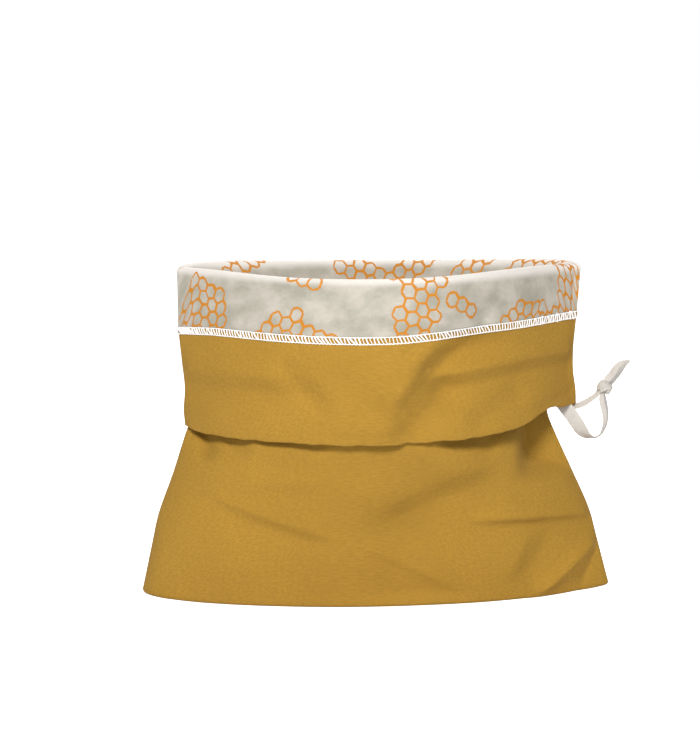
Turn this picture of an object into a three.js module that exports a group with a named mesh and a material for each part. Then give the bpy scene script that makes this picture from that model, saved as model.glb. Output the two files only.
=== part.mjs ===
// A lined cotton bread bag that stands open, with its top turned down outside as a deep cuff.
// Millimetres, +Z up. The front looks along -Y and +X is to the right of someone facing it.
// The origin is on the surface the bag stands on, midway across the whole bag in X and in Y.

import * as THREE from 'three';
import { LoftGeometry } from 'three/addons/geometries/LoftGeometry.js';
import { mergeVertices } from 'three/addons/utils/BufferGeometryUtils.js';

// Cloth: one thickness, the air between layers that lie together, the gap between sewn edges
const CLOTH = 1.0;
const LAYER_GAP = 0.4;
const PIECE_GAP = 0.3;

// How far a corner steps in or out for each millimetre that its two walls do
const CORNER_STEP = 1.5;

// Bends: air inside the top fold, radius where the wall turns under the bag
const FOLD_GAP = 2.0;
const FLOOR_BEND = 2.8;
const HEM_RADIUS = CLOTH + LAYER_GAP / 2;

// The plane of the two side seams, behind the origin
const SEAM_PLANE = 20.8;

// The overlocked seam: height of the band of thread, how far it stands off the cloth
const OVERLOCK_HEIGHT = 7.5;
const OVERLOCK_OFF = 0.3;
const OVERLOCK_THICK = 0.7;

// Cotton tape of the drawstring
const TAPE_THICK = 1.2;
const TAPE_SIDES = 8;

// Layers, by their depth from the bag's outer face
const OUTER_LAYER = { near: 0, far: CLOTH };
const LINING_LAYER = { near: CLOTH + LAYER_GAP, far: 2 * CLOTH + LAYER_GAP };
const STACK = LINING_LAYER.far;
const FOLD_WIDTH = FOLD_GAP + STACK;

// Rows and columns of the faceted cloth
const FRONT_COLUMNS = 30;
const BACK_COLUMNS = 20;
const FRONT_CROWDING = 0.6;
const BACK_CROWDING = 0.85;
const BASE_ROWS = 2;
const BEND_ROWS = 2;
const SEEN_WALL_ROWS = 11;
const HIDDEN_WALL_ROWS = 3;
const FOLD_ROWS = 4;
const BAND_ROWS = 3;
const FACING_ROWS = 6;
const HEM_ROWS = 3;
const SAME_POINT = 1e-3;

// Where the part of the wall that the cuff hides begins, as a share of the wall's height
const HIDDEN_FROM = 0.52;

// The outermost face of the cuff from the top fold (share 0) to its edge (share 1). Left and
// right are half widths to the side seams, front and back are depths from the seam plane, and
// each arch tells how that side meets the seams: 0.5 is an ellipse, 1 a pointed arch.
const CUFF_SECTIONS = [
  { share: 0, left: 152.1, right: 156.4, front: 97, back: 52, archLeft: 1.1, archRight: 1.35, archBack: 0.25 },
  { share: 0.14, left: 152, right: 155.3, front: 97, back: 52, archLeft: 1.08, archRight: 1.3, archBack: 0.26 },
  { share: 0.38, left: 151.6, right: 153.4, front: 96, back: 53, archLeft: 1, archRight: 1.2, archBack: 0.3 },
  { share: 0.6, left: 149.2, right: 151.6, front: 95, back: 54, archLeft: 0.92, archRight: 1.1, archBack: 0.34 },
  { share: 0.76, left: 147.2, right: 151.8, front: 95, back: 55, archLeft: 0.86, archRight: 1, archBack: 0.37 },
  { share: 0.9, left: 147.4, right: 153.9, front: 96, back: 56, archLeft: 0.82, archRight: 0.94, archBack: 0.4 },
  { share: 1, left: 146.6, right: 154.4, front: 97, back: 57, archLeft: 0.8, archRight: 0.9, archBack: 0.42 },
];

// The wall's outer face from the floor to the top fold, in the same columns
const WALL_SECTIONS = [
  { height: 0, left: 181, right: 181, front: 54, back: 50, archLeft: 0.38, archRight: 0.9, archBack: 0.6 },
  { height: 38, left: 174, right: 172.6, front: 65, back: 53, archLeft: 0.52, archRight: 0.88, archBack: 0.58 },
  { height: 62, left: 168.6, right: 165.8, front: 70, back: 54, archLeft: 0.62, archRight: 0.87, archBack: 0.56 },
  { height: 94, left: 156.8, right: 151.4, front: 78, back: 52, archLeft: 0.7, archRight: 0.84, archBack: 0.54 },
  { height: 122, left: 146.6, right: 138.4, front: 82, back: 48, archLeft: 0.78, archRight: 0.84, archBack: 0.52 },
  { height: 138, left: 141.4, right: 132.2, front: 82, back: 46, archLeft: 0.84, archRight: 0.9, archBack: 0.5 },
  { height: 160, left: 140.8, right: 131, front: 81, back: 44, archLeft: 0.94, archRight: 1.04, archBack: 0.45 },
  { height: 195, left: 142, right: 137, front: 82, back: 44, archLeft: 1.04, archRight: 1.22, archBack: 0.38 },
  { height: 225, left: 143.6, right: 145.4, front: 87, back: 45, archLeft: 1.08, archRight: 1.3, archBack: 0.31 },
  { height: 248, ...grown(CUFF_SECTIONS[0], -FOLD_WIDTH) },
];

// Heights of the top fold, the overlocked seam and the cuff's edge across the front and back
const FRONT_LINES = [
  { across: -1.00, rim: 252.3, seam: 203.7, edge: 132.0 },
  { across: -0.94, rim: 252.3, seam: 204.8, edge: 128.6 },
  { across: -0.80, rim: 252.2, seam: 206.6, edge: 128.0 },
  { across: -0.48, rim: 250.8, seam: 206.6, edge: 129.4 },
  { across: 0.00, rim: 251.4, seam: 207.2, edge: 129.8 },
  { across: 0.25, rim: 252.1, seam: 209.6, edge: 131.2 },
  { across: 0.50, rim: 253.3, seam: 211.6, edge: 132.8 },
  { across: 0.68, rim: 253.9, seam: 212.2, edge: 136.0 },
  { across: 0.84, rim: 253.8, seam: 213.0, edge: 145.6 },
  { across: 0.93, rim: 253.0, seam: 213.5, edge: 143.6 },
  { across: 1.00, rim: 252.3, seam: 213.8, edge: 146.6 },
];
const BACK_LINES = [
  { across: -1.00, rim: 252.3, seam: 203.7, edge: 132.0 },
  { across: -0.92, rim: 253.2, seam: 204.4, edge: 129.6 },
  { across: -0.40, rim: 252.6, seam: 206.0, edge: 130.4 },
  { across: 0.20, rim: 252.2, seam: 208.4, edge: 132.6 },
  { across: 0.60, rim: 252.6, seam: 211.0, edge: 137.4 },
  { across: 0.92, rim: 253.4, seam: 213.2, edge: 145.4 },
  { across: 1.00, rim: 252.3, seam: 213.8, edge: 146.6 },
];

// Creases, as lines seen from the front: where each starts and ends, how far it spreads to
// either side, and how far it stands out or, below zero, sinks in
const FRONT_WALL_CREASES = [
  { name: 'long ridge on the left', x1: -130, z1: 80, x2: -48, z2: 57, spread: 11, out: 1.6 },
  { name: 'hollow under it', x1: -120, z1: 64, x2: -48, z2: 42, spread: 12, out: -1.4 },
  { name: 'level ridge on the right', x1: 62, z1: 69, x2: 164, z2: 58, spread: 8, out: 2.6 },
  { name: 'hollow under the level ridge', x1: 88, z1: 55, x2: 158, z2: 46, spread: 10, out: -2.2 },
  { name: 'corner fold', x1: 168, z1: 36, x2: 120, z2: 6, spread: 9, out: 4.4 },
  { name: 'facet behind the corner fold', x1: 168, z1: 26, x2: 148, z2: 2, spread: 9, out: -4.2 },
  { name: 'slanted hollow', x1: 4, z1: 78, x2: 78, z2: 104, spread: 17, out: -2.6 },
  { name: 'faint line near the floor', x1: 2, z1: 41, x2: 50, z2: 16, spread: 10, out: 1.2 },
  { name: 'short fold on the right', x1: 109, z1: 46, x2: 101, z2: 24, spread: 10, out: -1.4 },
];
const BACK_WALL_CREASES = [
  { name: 'long slack fold', x1: -120, z1: 92, x2: 20, z2: 52, spread: 16, out: -2.2 },
  { name: 'ridge on the right', x1: 40, z1: 70, x2: 150, z2: 60, spread: 10, out: 1.8 },
];
const FRONT_CUFF_CREASES = [
  { name: 'deep valley', x1: 46, z1: 204, x2: 22, z2: 181, spread: 12, out: -5.0 },
  { name: 'swell beside the valley', x1: 8, z1: 196, x2: 2, z2: 166, spread: 20, out: 1.6 },
  { name: 'long ridge', x1: 22, z1: 174, x2: 148, z2: 190, spread: 9, out: 3.6 },
  { name: 'hollow under the long ridge', x1: 30, z1: 160, x2: 146, z2: 174, spread: 12, out: -2.6 },
  { name: 'lower hollow', x1: 26, z1: 150, x2: 40, z2: 176, spread: 12, out: -1.6 },
  { name: 'soft wave on the left', x1: -142, z1: 177, x2: -60, z2: 178, spread: 9, out: 1.6 },
  { name: 'hollow under the wave', x1: -142, z1: 162, x2: -80, z2: 166, spread: 9, out: -1.8 },
  { name: 'slanted crease at the right end', x1: 150, z1: 155, x2: 120, z2: 147, spread: 8, out: -1.8 },
];
const BACK_CUFF_CREASES = [
  { name: 'slack hollow', x1: -60, z1: 190, x2: -20, z2: 150, spread: 16, out: -2.4 },
  { name: 'slack swell', x1: 50, z1: 180, x2: 110, z2: 160, spread: 16, out: 2.0 },
];

// Creases die out this near the side seams, the floor and the top fold
const SEAM_CALM = 0.06;
const FLOOR_CALM = 14.0;
const FOLD_CALM = 30.0;

const FRONT = {
  name: 'front',
  sign: -1,
  columns: FRONT_COLUMNS,
  crowding: FRONT_CROWDING,
  lines: FRONT_LINES,
  wallCreases: FRONT_WALL_CREASES,
  cuffCreases: FRONT_CUFF_CREASES,
};
const BACK = {
  name: 'back',
  sign: 1,
  columns: BACK_COLUMNS,
  crowding: BACK_CROWDING,
  lines: BACK_LINES,
  wallCreases: BACK_WALL_CREASES,
  cuffCreases: BACK_CUFF_CREASES,
};

// The drawstring's two runs, from under the cuff to the knot. Back is measured from the seam
// plane. Turn is 0 where the tape shows its full width to the front, 90 where it is edge on.
const LOWER_RUN = [
  { x: 137.4, back: -2.6, z: 152.6, turn: 0, width: 10.4 },
  { x: 141.2, back: -3.2, z: 147.6, turn: 0, width: 10.4 },
  { x: 145.6, back: -4.4, z: 142.0, turn: 2, width: 10.4 },
  { x: 150.4, back: -5.4, z: 135.6, turn: 6, width: 10.4 },
  { x: 154.8, back: -6.2, z: 129.2, turn: 14, width: 10.4 },
  { x: 158.4, back: -6.8, z: 124.0, turn: 30, width: 10.4 },
  { x: 162.8, back: -7.2, z: 120.3, turn: 56, width: 10.2 },
  { x: 168.4, back: -7.4, z: 119.2, turn: 78, width: 10.0 },
  { x: 173.2, back: -7.2, z: 121.6, turn: 74, width: 9.6 },
  { x: 176.4, back: -6.8, z: 126.8, turn: 66, width: 9.2 },
  { x: 177.9, back: -6.4, z: 132.8, turn: 60, width: 8.8 },
  { x: 177.7, back: -6.0, z: 139.0, turn: 58, width: 8.2 },
  { x: 176.0, back: -5.6, z: 145.6, turn: 60, width: 7.0 },
  { x: 174.6, back: -5.4, z: 150.6, turn: 62, width: 5.6 },
];
const UPPER_RUN = [
  { x: 142.6, back: 2.4, z: 148.6, turn: 50, width: 8.6 },
  { x: 146.6, back: 1.6, z: 144.2, turn: 60, width: 8.6 },
  { x: 151.4, back: 0.2, z: 142.2, turn: 68, width: 8.4 },
  { x: 156.0, back: -1.4, z: 143.4, turn: 68, width: 8.0 },
  { x: 160.4, back: -2.8, z: 145.6, turn: 66, width: 7.6 },
  { x: 164.8, back: -4.0, z: 148.8, turn: 64, width: 6.6 },
  { x: 169.0, back: -5.0, z: 152.2, turn: 62, width: 5.2 },
];
const TAIL = [
  { x: 179.2, back: -5.6, z: 163.6, turn: 40, width: 5.6 },
  { x: 181.8, back: -6.0, z: 166.4, turn: 22, width: 7.6 },
  { x: 185.0, back: -6.6, z: 170.0, turn: 12, width: 8.2 },
  { x: 188.4, back: -7.2, z: 173.2, turn: 14, width: 6.8 },
  { x: 191.6, back: -7.8, z: 176.2, turn: 20, width: 4.0 },
  { x: 194.4, back: -8.2, z: 178.8, turn: 24, width: 1.4 },
];
const LOWER_RUN_STEPS = 26;
const UPPER_RUN_STEPS = 12;
const TAIL_STEPS = 10;

// The knot: half sizes across, front to back and up, its tilt, and the ridges of its wraps
const KNOT = { x: 175.5, back: -5.6, z: 158.0, halfWidth: 5.4, halfDepth: 5.0, halfHeight: 6.2 };
const KNOT_TILT = THREE.MathUtils.degToRad(-18);
const KNOT_WRAPS = 3;
const KNOT_RIDGE = 0.07;
const KNOT_COLUMNS = 18;
const KNOT_ROWS = 12;

function grown(section, out) {
  return {
    ...section,
    left: section.left + CORNER_STEP * out,
    right: section.right + CORNER_STEP * out,
    front: section.front + out,
    back: section.back + out,
  };
}

function mix(a, b, share) {
  return a + (b - a) * share;
}

function clamp01(value) {
  return Math.min(Math.max(value, 0), 1);
}

// Rise of a smooth curve through the table's values at row i
function slopeAt(rows, key, column, i) {
  const before = rows[Math.max(i - 1, 0)];
  const after = rows[Math.min(i + 1, rows.length - 1)];
  return (after[column] - before[column]) / (after[key] - before[key]);
}

// One column of a table as a smooth curve, read at any value of its key
function readColumn(rows, key, column, at) {
  const place = Math.min(Math.max(at, rows[0][key]), rows[rows.length - 1][key]);
  let i = 0;
  while (i < rows.length - 2 && rows[i + 1][key] < place) i += 1;
  const span = rows[i + 1][key] - rows[i][key];
  const t = (place - rows[i][key]) / span;
  const start = rows[i][column];
  const end = rows[i + 1][column];
  const startSlope = slopeAt(rows, key, column, i) * span;
  const endSlope = slopeAt(rows, key, column, i + 1) * span;
  const bend = 2 * (start - end) + startSlope + endSlope;
  const turn = 3 * (end - start) - 2 * startSlope - endSlope;
  return ((bend * t + turn) * t + startSlope) * t + start;
}

function lineHeight(side, line, across) {
  return readColumn(side.lines, 'across', line, across);
}

function foldCentre(side, across) {
  return lineHeight(side, 'rim', across) - FOLD_GAP / 2 - STACK;
}

function hemCentre(side, across) {
  return lineHeight(side, 'edge', across) + HEM_RADIUS;
}

function creaseRelief(creases, x, z) {
  let relief = 0;
  for (const crease of creases) {
    const runX = crease.x2 - crease.x1;
    const runZ = crease.z2 - crease.z1;
    const length2 = runX * runX + runZ * runZ;
    const along = clamp01(((x - crease.x1) * runX + (z - crease.z1) * runZ) / length2);
    const offX = x - crease.x1 - along * runX;
    const offZ = z - crease.z1 - along * runZ;
    const away2 = (offX * offX + offZ * offZ) / (crease.spread * crease.spread);
    relief += crease.out * Math.exp(-away2);
  }
  return relief;
}

// A point of the cloth on one side of the bag. The section is read from a table, inset is how
// far the point lies inside it, share runs from the seam line (0) out to the section (1).
function clothPoint(side, table, key, at, across, inset, z, relief, share = 1) {
  const read = (column) => readColumn(table, key, column, at);
  const half = read(across < 0 ? 'left' : 'right') - CORNER_STEP * inset;
  const depth = read(side.name) - inset;
  const frontArch = across < 0 ? 'archLeft' : 'archRight';
  const power = read(side.name === 'back' ? 'archBack' : frontArch);
  const arch = Math.pow(1 - across * across, power);
  const calm = clamp01((1 - Math.abs(across)) / SEAM_CALM);
  const out = depth * arch * share + relief * calm + PIECE_GAP / 2;
  return new THREE.Vector3(half * across, SEAM_PLANE + side.sign * out, z);
}

function wallRelief(side, across, z) {
  const half = readColumn(WALL_SECTIONS, 'height', across < 0 ? 'left' : 'right', z);
  return creaseRelief(side.wallCreases, half * across, z) * clamp01(z / FLOOR_CALM);
}

function cuffRelief(side, across, z) {
  const fade = clamp01((foldCentre(side, across) - z) / FOLD_CALM);
  const half = across < 0 ? CUFF_SECTIONS[0].left : CUFF_SECTIONS[0].right;
  return creaseRelief(side.cuffCreases, half * across, z) * fade;
}

// Stations along the cloth, from the middle of the base up the wall, over the fold and down
// the cuff. Each gives the point at a place across the panel and a depth into the cloth.

function baseStation(side, share) {
  return (across, depth) => {
    return clothPoint(side, WALL_SECTIONS, 'height', 0, across, FLOOR_BEND, depth, 0, share);
  };
}

function bendStation(side, share) {
  const angle = share * Math.PI / 2;
  return (across, depth) => {
    const radius = FLOOR_BEND - depth;
    const inset = FLOOR_BEND - radius * Math.sin(angle);
    const z = FLOOR_BEND - radius * Math.cos(angle);
    return clothPoint(side, WALL_SECTIONS, 'height', z, across, inset, z, wallRelief(side, across, z));
  };
}

function wallStation(side, share) {
  return (across, depth) => {
    const z = mix(FLOOR_BEND, foldCentre(side, across), share);
    return clothPoint(side, WALL_SECTIONS, 'height', z, across, depth, z, wallRelief(side, across, z));
  };
}

function foldStation(side, share) {
  const angle = share * Math.PI;
  return (across, depth) => {
    const radius = FOLD_GAP / 2 + depth;
    const centre = foldCentre(side, across);
    const inset = radius * Math.cos(angle) - FOLD_GAP / 2;
    const z = centre + radius * Math.sin(angle);
    return clothPoint(side, WALL_SECTIONS, 'height', centre, across, inset, z, 0);
  };
}

function cuffPoint(side, across, inset, level, z) {
  const top = foldCentre(side, across);
  const share = (top - level) / (top - hemCentre(side, across));
  const relief = cuffRelief(side, across, level);
  return clothPoint(side, CUFF_SECTIONS, 'share', share, across, inset, z, relief);
}

// The cuff's inner side, which the wall's cloth runs on into, and the lining over it
function cuffStation(side, levelAt) {
  return (across, depth) => {
    const z = levelAt(across);
    return cuffPoint(side, across, STACK - depth, z, z);
  };
}

function hemStation(side, share) {
  const angle = share * Math.PI;
  return (across, depth) => {
    const radius = HEM_RADIUS - depth;
    const centre = hemCentre(side, across);
    const inset = HEM_RADIUS + radius * Math.cos(angle);
    return cuffPoint(side, across, inset, centre, centre - radius * Math.sin(angle));
  };
}

// The facing, which comes back up over the cuff from its hem
function facingStation(side, levelAt) {
  return (across, depth) => {
    const z = levelAt(across);
    return cuffPoint(side, across, depth, z, z);
  };
}

// Shares after the first of a run of equal steps
function steps(count) {
  return Array.from({ length: count }, (_, i) => (i + 1) / count);
}

function seamLevel(side, off) {
  return (across) => lineHeight(side, 'seam', across) + off;
}

function levelsBetween(count, from, to) {
  return steps(count).map((share) => (across) => mix(from(across), to(across), share));
}

function bandLevels(side) {
  const top = (across) => foldCentre(side, across);
  return levelsBetween(BAND_ROWS, top, seamLevel(side, OVERLOCK_HEIGHT / 2));
}

function facingLevels(side) {
  const bottom = (across) => hemCentre(side, across);
  return levelsBetween(FACING_ROWS, seamLevel(side, -OVERLOCK_HEIGHT / 2), bottom);
}

function bagStations(side) {
  const wallShares = [
    ...steps(SEEN_WALL_ROWS).map((share) => share * HIDDEN_FROM),
    ...steps(HIDDEN_WALL_ROWS).map((share) => mix(HIDDEN_FROM, 1, share)),
  ];
  return [
    baseStation(side, 0),
    ...steps(BASE_ROWS).map((share) => baseStation(side, share)),
    ...steps(BEND_ROWS).map((share) => bendStation(side, share)),
    ...wallShares.map((share) => wallStation(side, share)),
    ...steps(FOLD_ROWS).map((share) => foldStation(side, share)),
    ...bandLevels(side).map((level) => cuffStation(side, level)),
  ];
}

function outerStations(side) {
  const highest = seamLevel(side, -OVERLOCK_HEIGHT / 2);
  const facing = facingLevels(side);
  const facingUp = [...facing].reverse().slice(1);
  return [
    ...bagStations(side),
    cuffStation(side, seamLevel(side, 0)),
    cuffStation(side, highest),
    ...facing.map((level) => cuffStation(side, level)),
    ...steps(HEM_ROWS).map((share) => hemStation(side, share)),
    ...facingUp.map((level) => facingStation(side, level)),
    facingStation(side, highest),
    facingStation(side, seamLevel(side, -PIECE_GAP / 2)),
  ];
}

function liningStations(side) {
  return [
    ...bagStations(side),
    cuffStation(side, seamLevel(side, PIECE_GAP / 2)),
  ];
}

// Places across a panel, closer together towards the seams. They run so that the cloth's
// outer face looks outwards on either side of the bag.
function acrossPlaces(side) {
  return Array.from({ length: side.columns + 1 }, (_, i) => {
    const even = -side.sign * (2 * i / side.columns - 1);
    return mix(even, Math.sin(even * Math.PI / 2), side.crowding);
  });
}

// Joins corners that coincide and drops the triangles that this closes up
function closedSolid(geometry) {
  const plain = new THREE.BufferGeometry();
  plain.setAttribute('position', geometry.getAttribute('position'));
  plain.setIndex(geometry.getIndex());
  const merged = mergeVertices(plain, SAME_POINT);
  const index = merged.getIndex().array;
  const kept = [];
  for (let i = 0; i < index.length; i += 3) {
    const [a, b, c] = index.subarray(i, i + 3);
    if (a !== b && b !== c && c !== a) kept.push(a, b, c);
  }
  merged.setIndex(kept);
  merged.computeVertexNormals();
  return merged;
}

// A sheet of cloth through its stations, with its two faces and its four edges
function sheetGeometry(stations, places, layer) {
  const rows = stations.length;
  const columns = places.length;
  const points = [layer.near, layer.far].flatMap((depth) => {
    return stations.flatMap((station) => places.map((across) => station(across, depth)));
  });
  const near = (row, column) => row * columns + column;
  const far = (corner) => rows * columns + corner;
  const index = [];
  const addQuad = (a, b, c, d) => index.push(a, b, c, a, c, d);
  for (let row = 0; row < rows - 1; row += 1) {
    for (let column = 0; column < columns - 1; column += 1) {
      const a = near(row, column);
      const b = near(row, column + 1);
      const c = near(row + 1, column + 1);
      const d = near(row + 1, column);
      addQuad(a, b, c, d);
      addQuad(far(a), far(d), far(c), far(b));
    }
  }
  const addEdge = (from, to) => addQuad(to, from, far(from), far(to));
  for (let column = 0; column < columns - 1; column += 1) {
    addEdge(near(0, column), near(0, column + 1));
    addEdge(near(rows - 1, column + 1), near(rows - 1, column));
  }
  for (let row = 0; row < rows - 1; row += 1) {
    addEdge(near(row, columns - 1), near(row + 1, columns - 1));
    addEdge(near(row + 1, 0), near(row, 0));
  }
  const numbers = points.flatMap((point) => point.toArray());
  const geometry = new THREE.BufferGeometry();
  geometry.setAttribute('position', new THREE.Float32BufferAttribute(numbers, 3));
  geometry.setIndex(index);
  return closedSolid(geometry);
}

// The band of thread right round the cuff, over the join of lining and facing
function overlockGeometry() {
  const nearInset = -OVERLOCK_OFF;
  const farInset = -OVERLOCK_OFF - OVERLOCK_THICK;
  const corners = [
    { inset: farInset, off: OVERLOCK_HEIGHT / 2 },
    { inset: farInset, off: 0 },
    { inset: farInset, off: -OVERLOCK_HEIGHT / 2 },
    { inset: nearInset, off: -OVERLOCK_HEIGHT / 2 },
    { inset: nearInset, off: 0 },
    { inset: nearInset, off: OVERLOCK_HEIGHT / 2 },
  ];
  const sections = [FRONT, BACK].flatMap((side) => acrossPlaces(side).map((across) => {
    return corners.map(({ inset, off }) => {
      const z = seamLevel(side, off)(across);
      return cuffPoint(side, across, inset, z, z);
    });
  }));
  return closedSolid(new LoftGeometry([...sections, sections[0]], { closed: true }));
}

// Flat tape swept along a table's rows, with an oval section that follows its turn and width
function tapeGeometry(rows, stepCount) {
  const curve = new THREE.CatmullRomCurve3(
    rows.map((row) => new THREE.Vector3(row.x, SEAM_PLANE + row.back, row.z)),
  );
  const numbered = rows.map((row, place) => ({ ...row, place }));
  const toBack = new THREE.Vector3(0, 1, 0);
  const sections = Array.from({ length: stepCount + 1 }, (_, i) => {
    const share = i / stepCount;
    const place = share * (rows.length - 1);
    const centre = curve.getPoint(share);
    const tangent = curve.getTangent(share);
    const flat = new THREE.Vector3().crossVectors(tangent, toBack).normalize();
    const turn = THREE.MathUtils.degToRad(readColumn(numbered, 'place', 'turn', place));
    const wide = flat.applyAxisAngle(tangent, turn);
    const thick = new THREE.Vector3().crossVectors(tangent, wide);
    const halfWidth = readColumn(numbered, 'place', 'width', place) / 2;
    return Array.from({ length: TAPE_SIDES }, (__, k) => {
      const angle = (k + 0.5) / TAPE_SIDES * 2 * Math.PI;
      return centre.clone()
        .addScaledVector(wide, halfWidth * Math.cos(angle))
        .addScaledVector(thick, TAPE_THICK / 2 * Math.sin(angle));
    });
  });
  return closedSolid(new LoftGeometry(sections, { closed: true, capStart: true, capEnd: true }));
}

function knotGeometry() {
  const geometry = new THREE.SphereGeometry(1, KNOT_COLUMNS, KNOT_ROWS);
  const position = geometry.getAttribute('position');
  const point = new THREE.Vector3();
  for (let i = 0; i < position.count; i += 1) {
    point.fromBufferAttribute(position, i);
    const round = Math.hypot(point.x, point.z);
    const wrap = Math.atan2(point.z, point.x) * 2 + point.y * KNOT_WRAPS;
    point.multiplyScalar(1 + KNOT_RIDGE * round * Math.cos(wrap));
    position.setXYZ(i, point.x * KNOT.halfWidth, point.z * KNOT.halfDepth, point.y * KNOT.halfHeight);
  }
  const index = geometry.getIndex().array;
  for (let i = 0; i < index.length; i += 3) {
    [index[i], index[i + 1]] = [index[i + 1], index[i]];
  }
  return closedSolid(geometry);
}

const mustardCotton = new THREE.MeshStandardMaterial({ color: 0xbe923c, roughness: 0.92, metalness: 0 });
const waxedLining = new THREE.MeshStandardMaterial({ color: 0xd8d0c4, roughness: 0.6, metalness: 0 });
const whiteThread = new THREE.MeshStandardMaterial({ color: 0xf8f4ee, roughness: 0.7, metalness: 0 });
const creamTape = new THREE.MeshStandardMaterial({ color: 0xdfd5cb, roughness: 0.9, metalness: 0 });

function namedMesh(name, geometry, material) {
  const mesh = new THREE.Mesh(geometry, material);
  mesh.name = name;
  return mesh;
}

function panels(side) {
  const places = acrossPlaces(side);
  const outer = sheetGeometry(outerStations(side), places, OUTER_LAYER);
  const lining = sheetGeometry(liningStations(side), places, LINING_LAYER);
  return [
    namedMesh(`outer_${side.name}`, outer, mustardCotton),
    namedMesh(`lining_${side.name}`, lining, waxedLining),
  ];
}

function knotMesh() {
  const knot = namedMesh('tie_knot', knotGeometry(), creamTape);
  knot.position.set(KNOT.x, SEAM_PLANE + KNOT.back, KNOT.z);
  knot.rotation.y = -KNOT_TILT;
  return knot;
}

const breadBag = new THREE.Group();
breadBag.add(...panels(FRONT), ...panels(BACK));
breadBag.add(namedMesh('overlock_seam', overlockGeometry(), whiteThread));
breadBag.add(namedMesh('tie_lower_run', tapeGeometry(LOWER_RUN, LOWER_RUN_STEPS), creamTape));
breadBag.add(namedMesh('tie_upper_run', tapeGeometry(UPPER_RUN, UPPER_RUN_STEPS), creamTape));
breadBag.add(knotMesh());
breadBag.add(namedMesh('tie_tail', tapeGeometry(TAIL, TAIL_STEPS), creamTape));

export default breadBag;
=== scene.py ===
"""Dresses the bread bag: mustard cotton outside, a printed waxed lining, an overlocked seam and a
tape tie."""

import math
from collections import namedtuple

import bmesh
import bpy
import numpy as np
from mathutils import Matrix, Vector, noise


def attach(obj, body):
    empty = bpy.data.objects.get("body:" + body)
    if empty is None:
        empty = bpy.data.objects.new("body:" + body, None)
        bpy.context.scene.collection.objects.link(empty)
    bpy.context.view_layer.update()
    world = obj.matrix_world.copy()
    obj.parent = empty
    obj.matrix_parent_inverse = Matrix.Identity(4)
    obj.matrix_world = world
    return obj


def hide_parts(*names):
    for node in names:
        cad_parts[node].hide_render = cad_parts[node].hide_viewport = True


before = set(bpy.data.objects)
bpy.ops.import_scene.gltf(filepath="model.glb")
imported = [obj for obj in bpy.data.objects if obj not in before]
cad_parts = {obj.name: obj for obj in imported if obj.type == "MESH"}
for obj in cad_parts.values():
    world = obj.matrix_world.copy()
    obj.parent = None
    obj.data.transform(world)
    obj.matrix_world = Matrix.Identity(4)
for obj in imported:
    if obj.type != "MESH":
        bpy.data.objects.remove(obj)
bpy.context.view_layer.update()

bl_info = {
    "name": "Lined Bread Bag",
    "version": (1, 0, 0),
    "blender": (4, 5, 0),
    "location": "View3D > Sidebar > Bread Bag",
    "description": "Makes a lined cotton bread bag with a turned-down cuff and a tape tie",
    "category": "Add Mesh",
}

# Sizes are in metres and match the solids of the frame

# Cloth: one thickness, the air between layers that lie together
CLOTH = 0.001
LAYER_GAP = 0.0004

# How far a corner steps in or out for each metre that its two walls do
CORNER_STEP = 1.5

# Bends: air inside the top fold, and radii where the wall turns under the bag and at the hem
FOLD_GAP = 0.002
FLOOR_BEND = 0.0028
HEM_RADIUS = CLOTH + LAYER_GAP / 2

# The plane of the two side seams, behind the origin
SEAM_PLANE = 0.0208

# The overlocked seam: half of its room on the cuff, and how far above its middle the lining
# meets the facing, under the upper edge of the thread
SEAM_BAND_HALF = 0.00375
JOIN_RISE = 0.0021
JOIN_GAP = 0.0002

# Layers, by their depth from the bag's outer face, how thick they are together, and how far the
# top fold sets the cuff off from the wall
OUTER_LAYER = (0.0, CLOTH)
LINING_LAYER = (CLOTH + LAYER_GAP, 2 * CLOTH + LAYER_GAP)
STACK = LINING_LAYER[1]
FOLD_WIDTH = FOLD_GAP + STACK

# One panel's flat width from side seam to side seam
PANEL_WIDTH = 0.381

# Rows and columns of the cloth's grid, and how far its columns crowd towards the side seams,
# from 0, even, to 1
PANEL_COLUMNS = 200
SEAM_CROWDING = 0.6
BASE_ROWS = 4
BEND_ROWS = 4
SEEN_WALL_ROWS = 68
HIDDEN_WALL_ROWS = 16
FOLD_ROWS = 8
LINING_BAND_ROWS = 18
OUTER_BAND_ROWS = 6
CUFF_ROWS = 6
HEM_ROWS = 7
FACING_ROWS = 38

# Points closer together than this are one point
SAME_POINT = 2e-6

# Where the part of the wall that the cuff hides begins, as a share of the wall's height
HIDDEN_FROM = 0.56


class Table:
    """Rows of sizes under named columns, each read as a smooth curve along the first column."""

    def __init__(self, names, rows):
        self.names = names.split()
        self.rows = np.array(rows, float)
        self.keys = self.rows[:, 0]
        place = np.arange(len(self.keys))
        before = np.maximum(place - 1, 0)
        after = np.minimum(place + 1, len(self.keys) - 1)
        steps = self.keys[after] - self.keys[before]
        self.slopes = (self.rows[after] - self.rows[before]) / steps[:, None]

    def read(self, name, at):
        """The named column at any values of the first one."""
        column = self.names.index(name)
        place = np.clip(at, self.keys[0], self.keys[-1])
        i = np.clip(np.searchsorted(self.keys, place) - 1, 0, len(self.keys) - 2)
        span = self.keys[i + 1] - self.keys[i]
        t = (place - self.keys[i]) / span
        start = self.rows[i, column]
        end = self.rows[i + 1, column]
        start_slope = self.slopes[i, column] * span
        end_slope = self.slopes[i + 1, column] * span
        bend = 2 * (start - end) + start_slope + end_slope
        turn = 3 * (end - start) - 2 * start_slope - end_slope
        return ((bend * t + turn) * t + start_slope) * t + start


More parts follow.
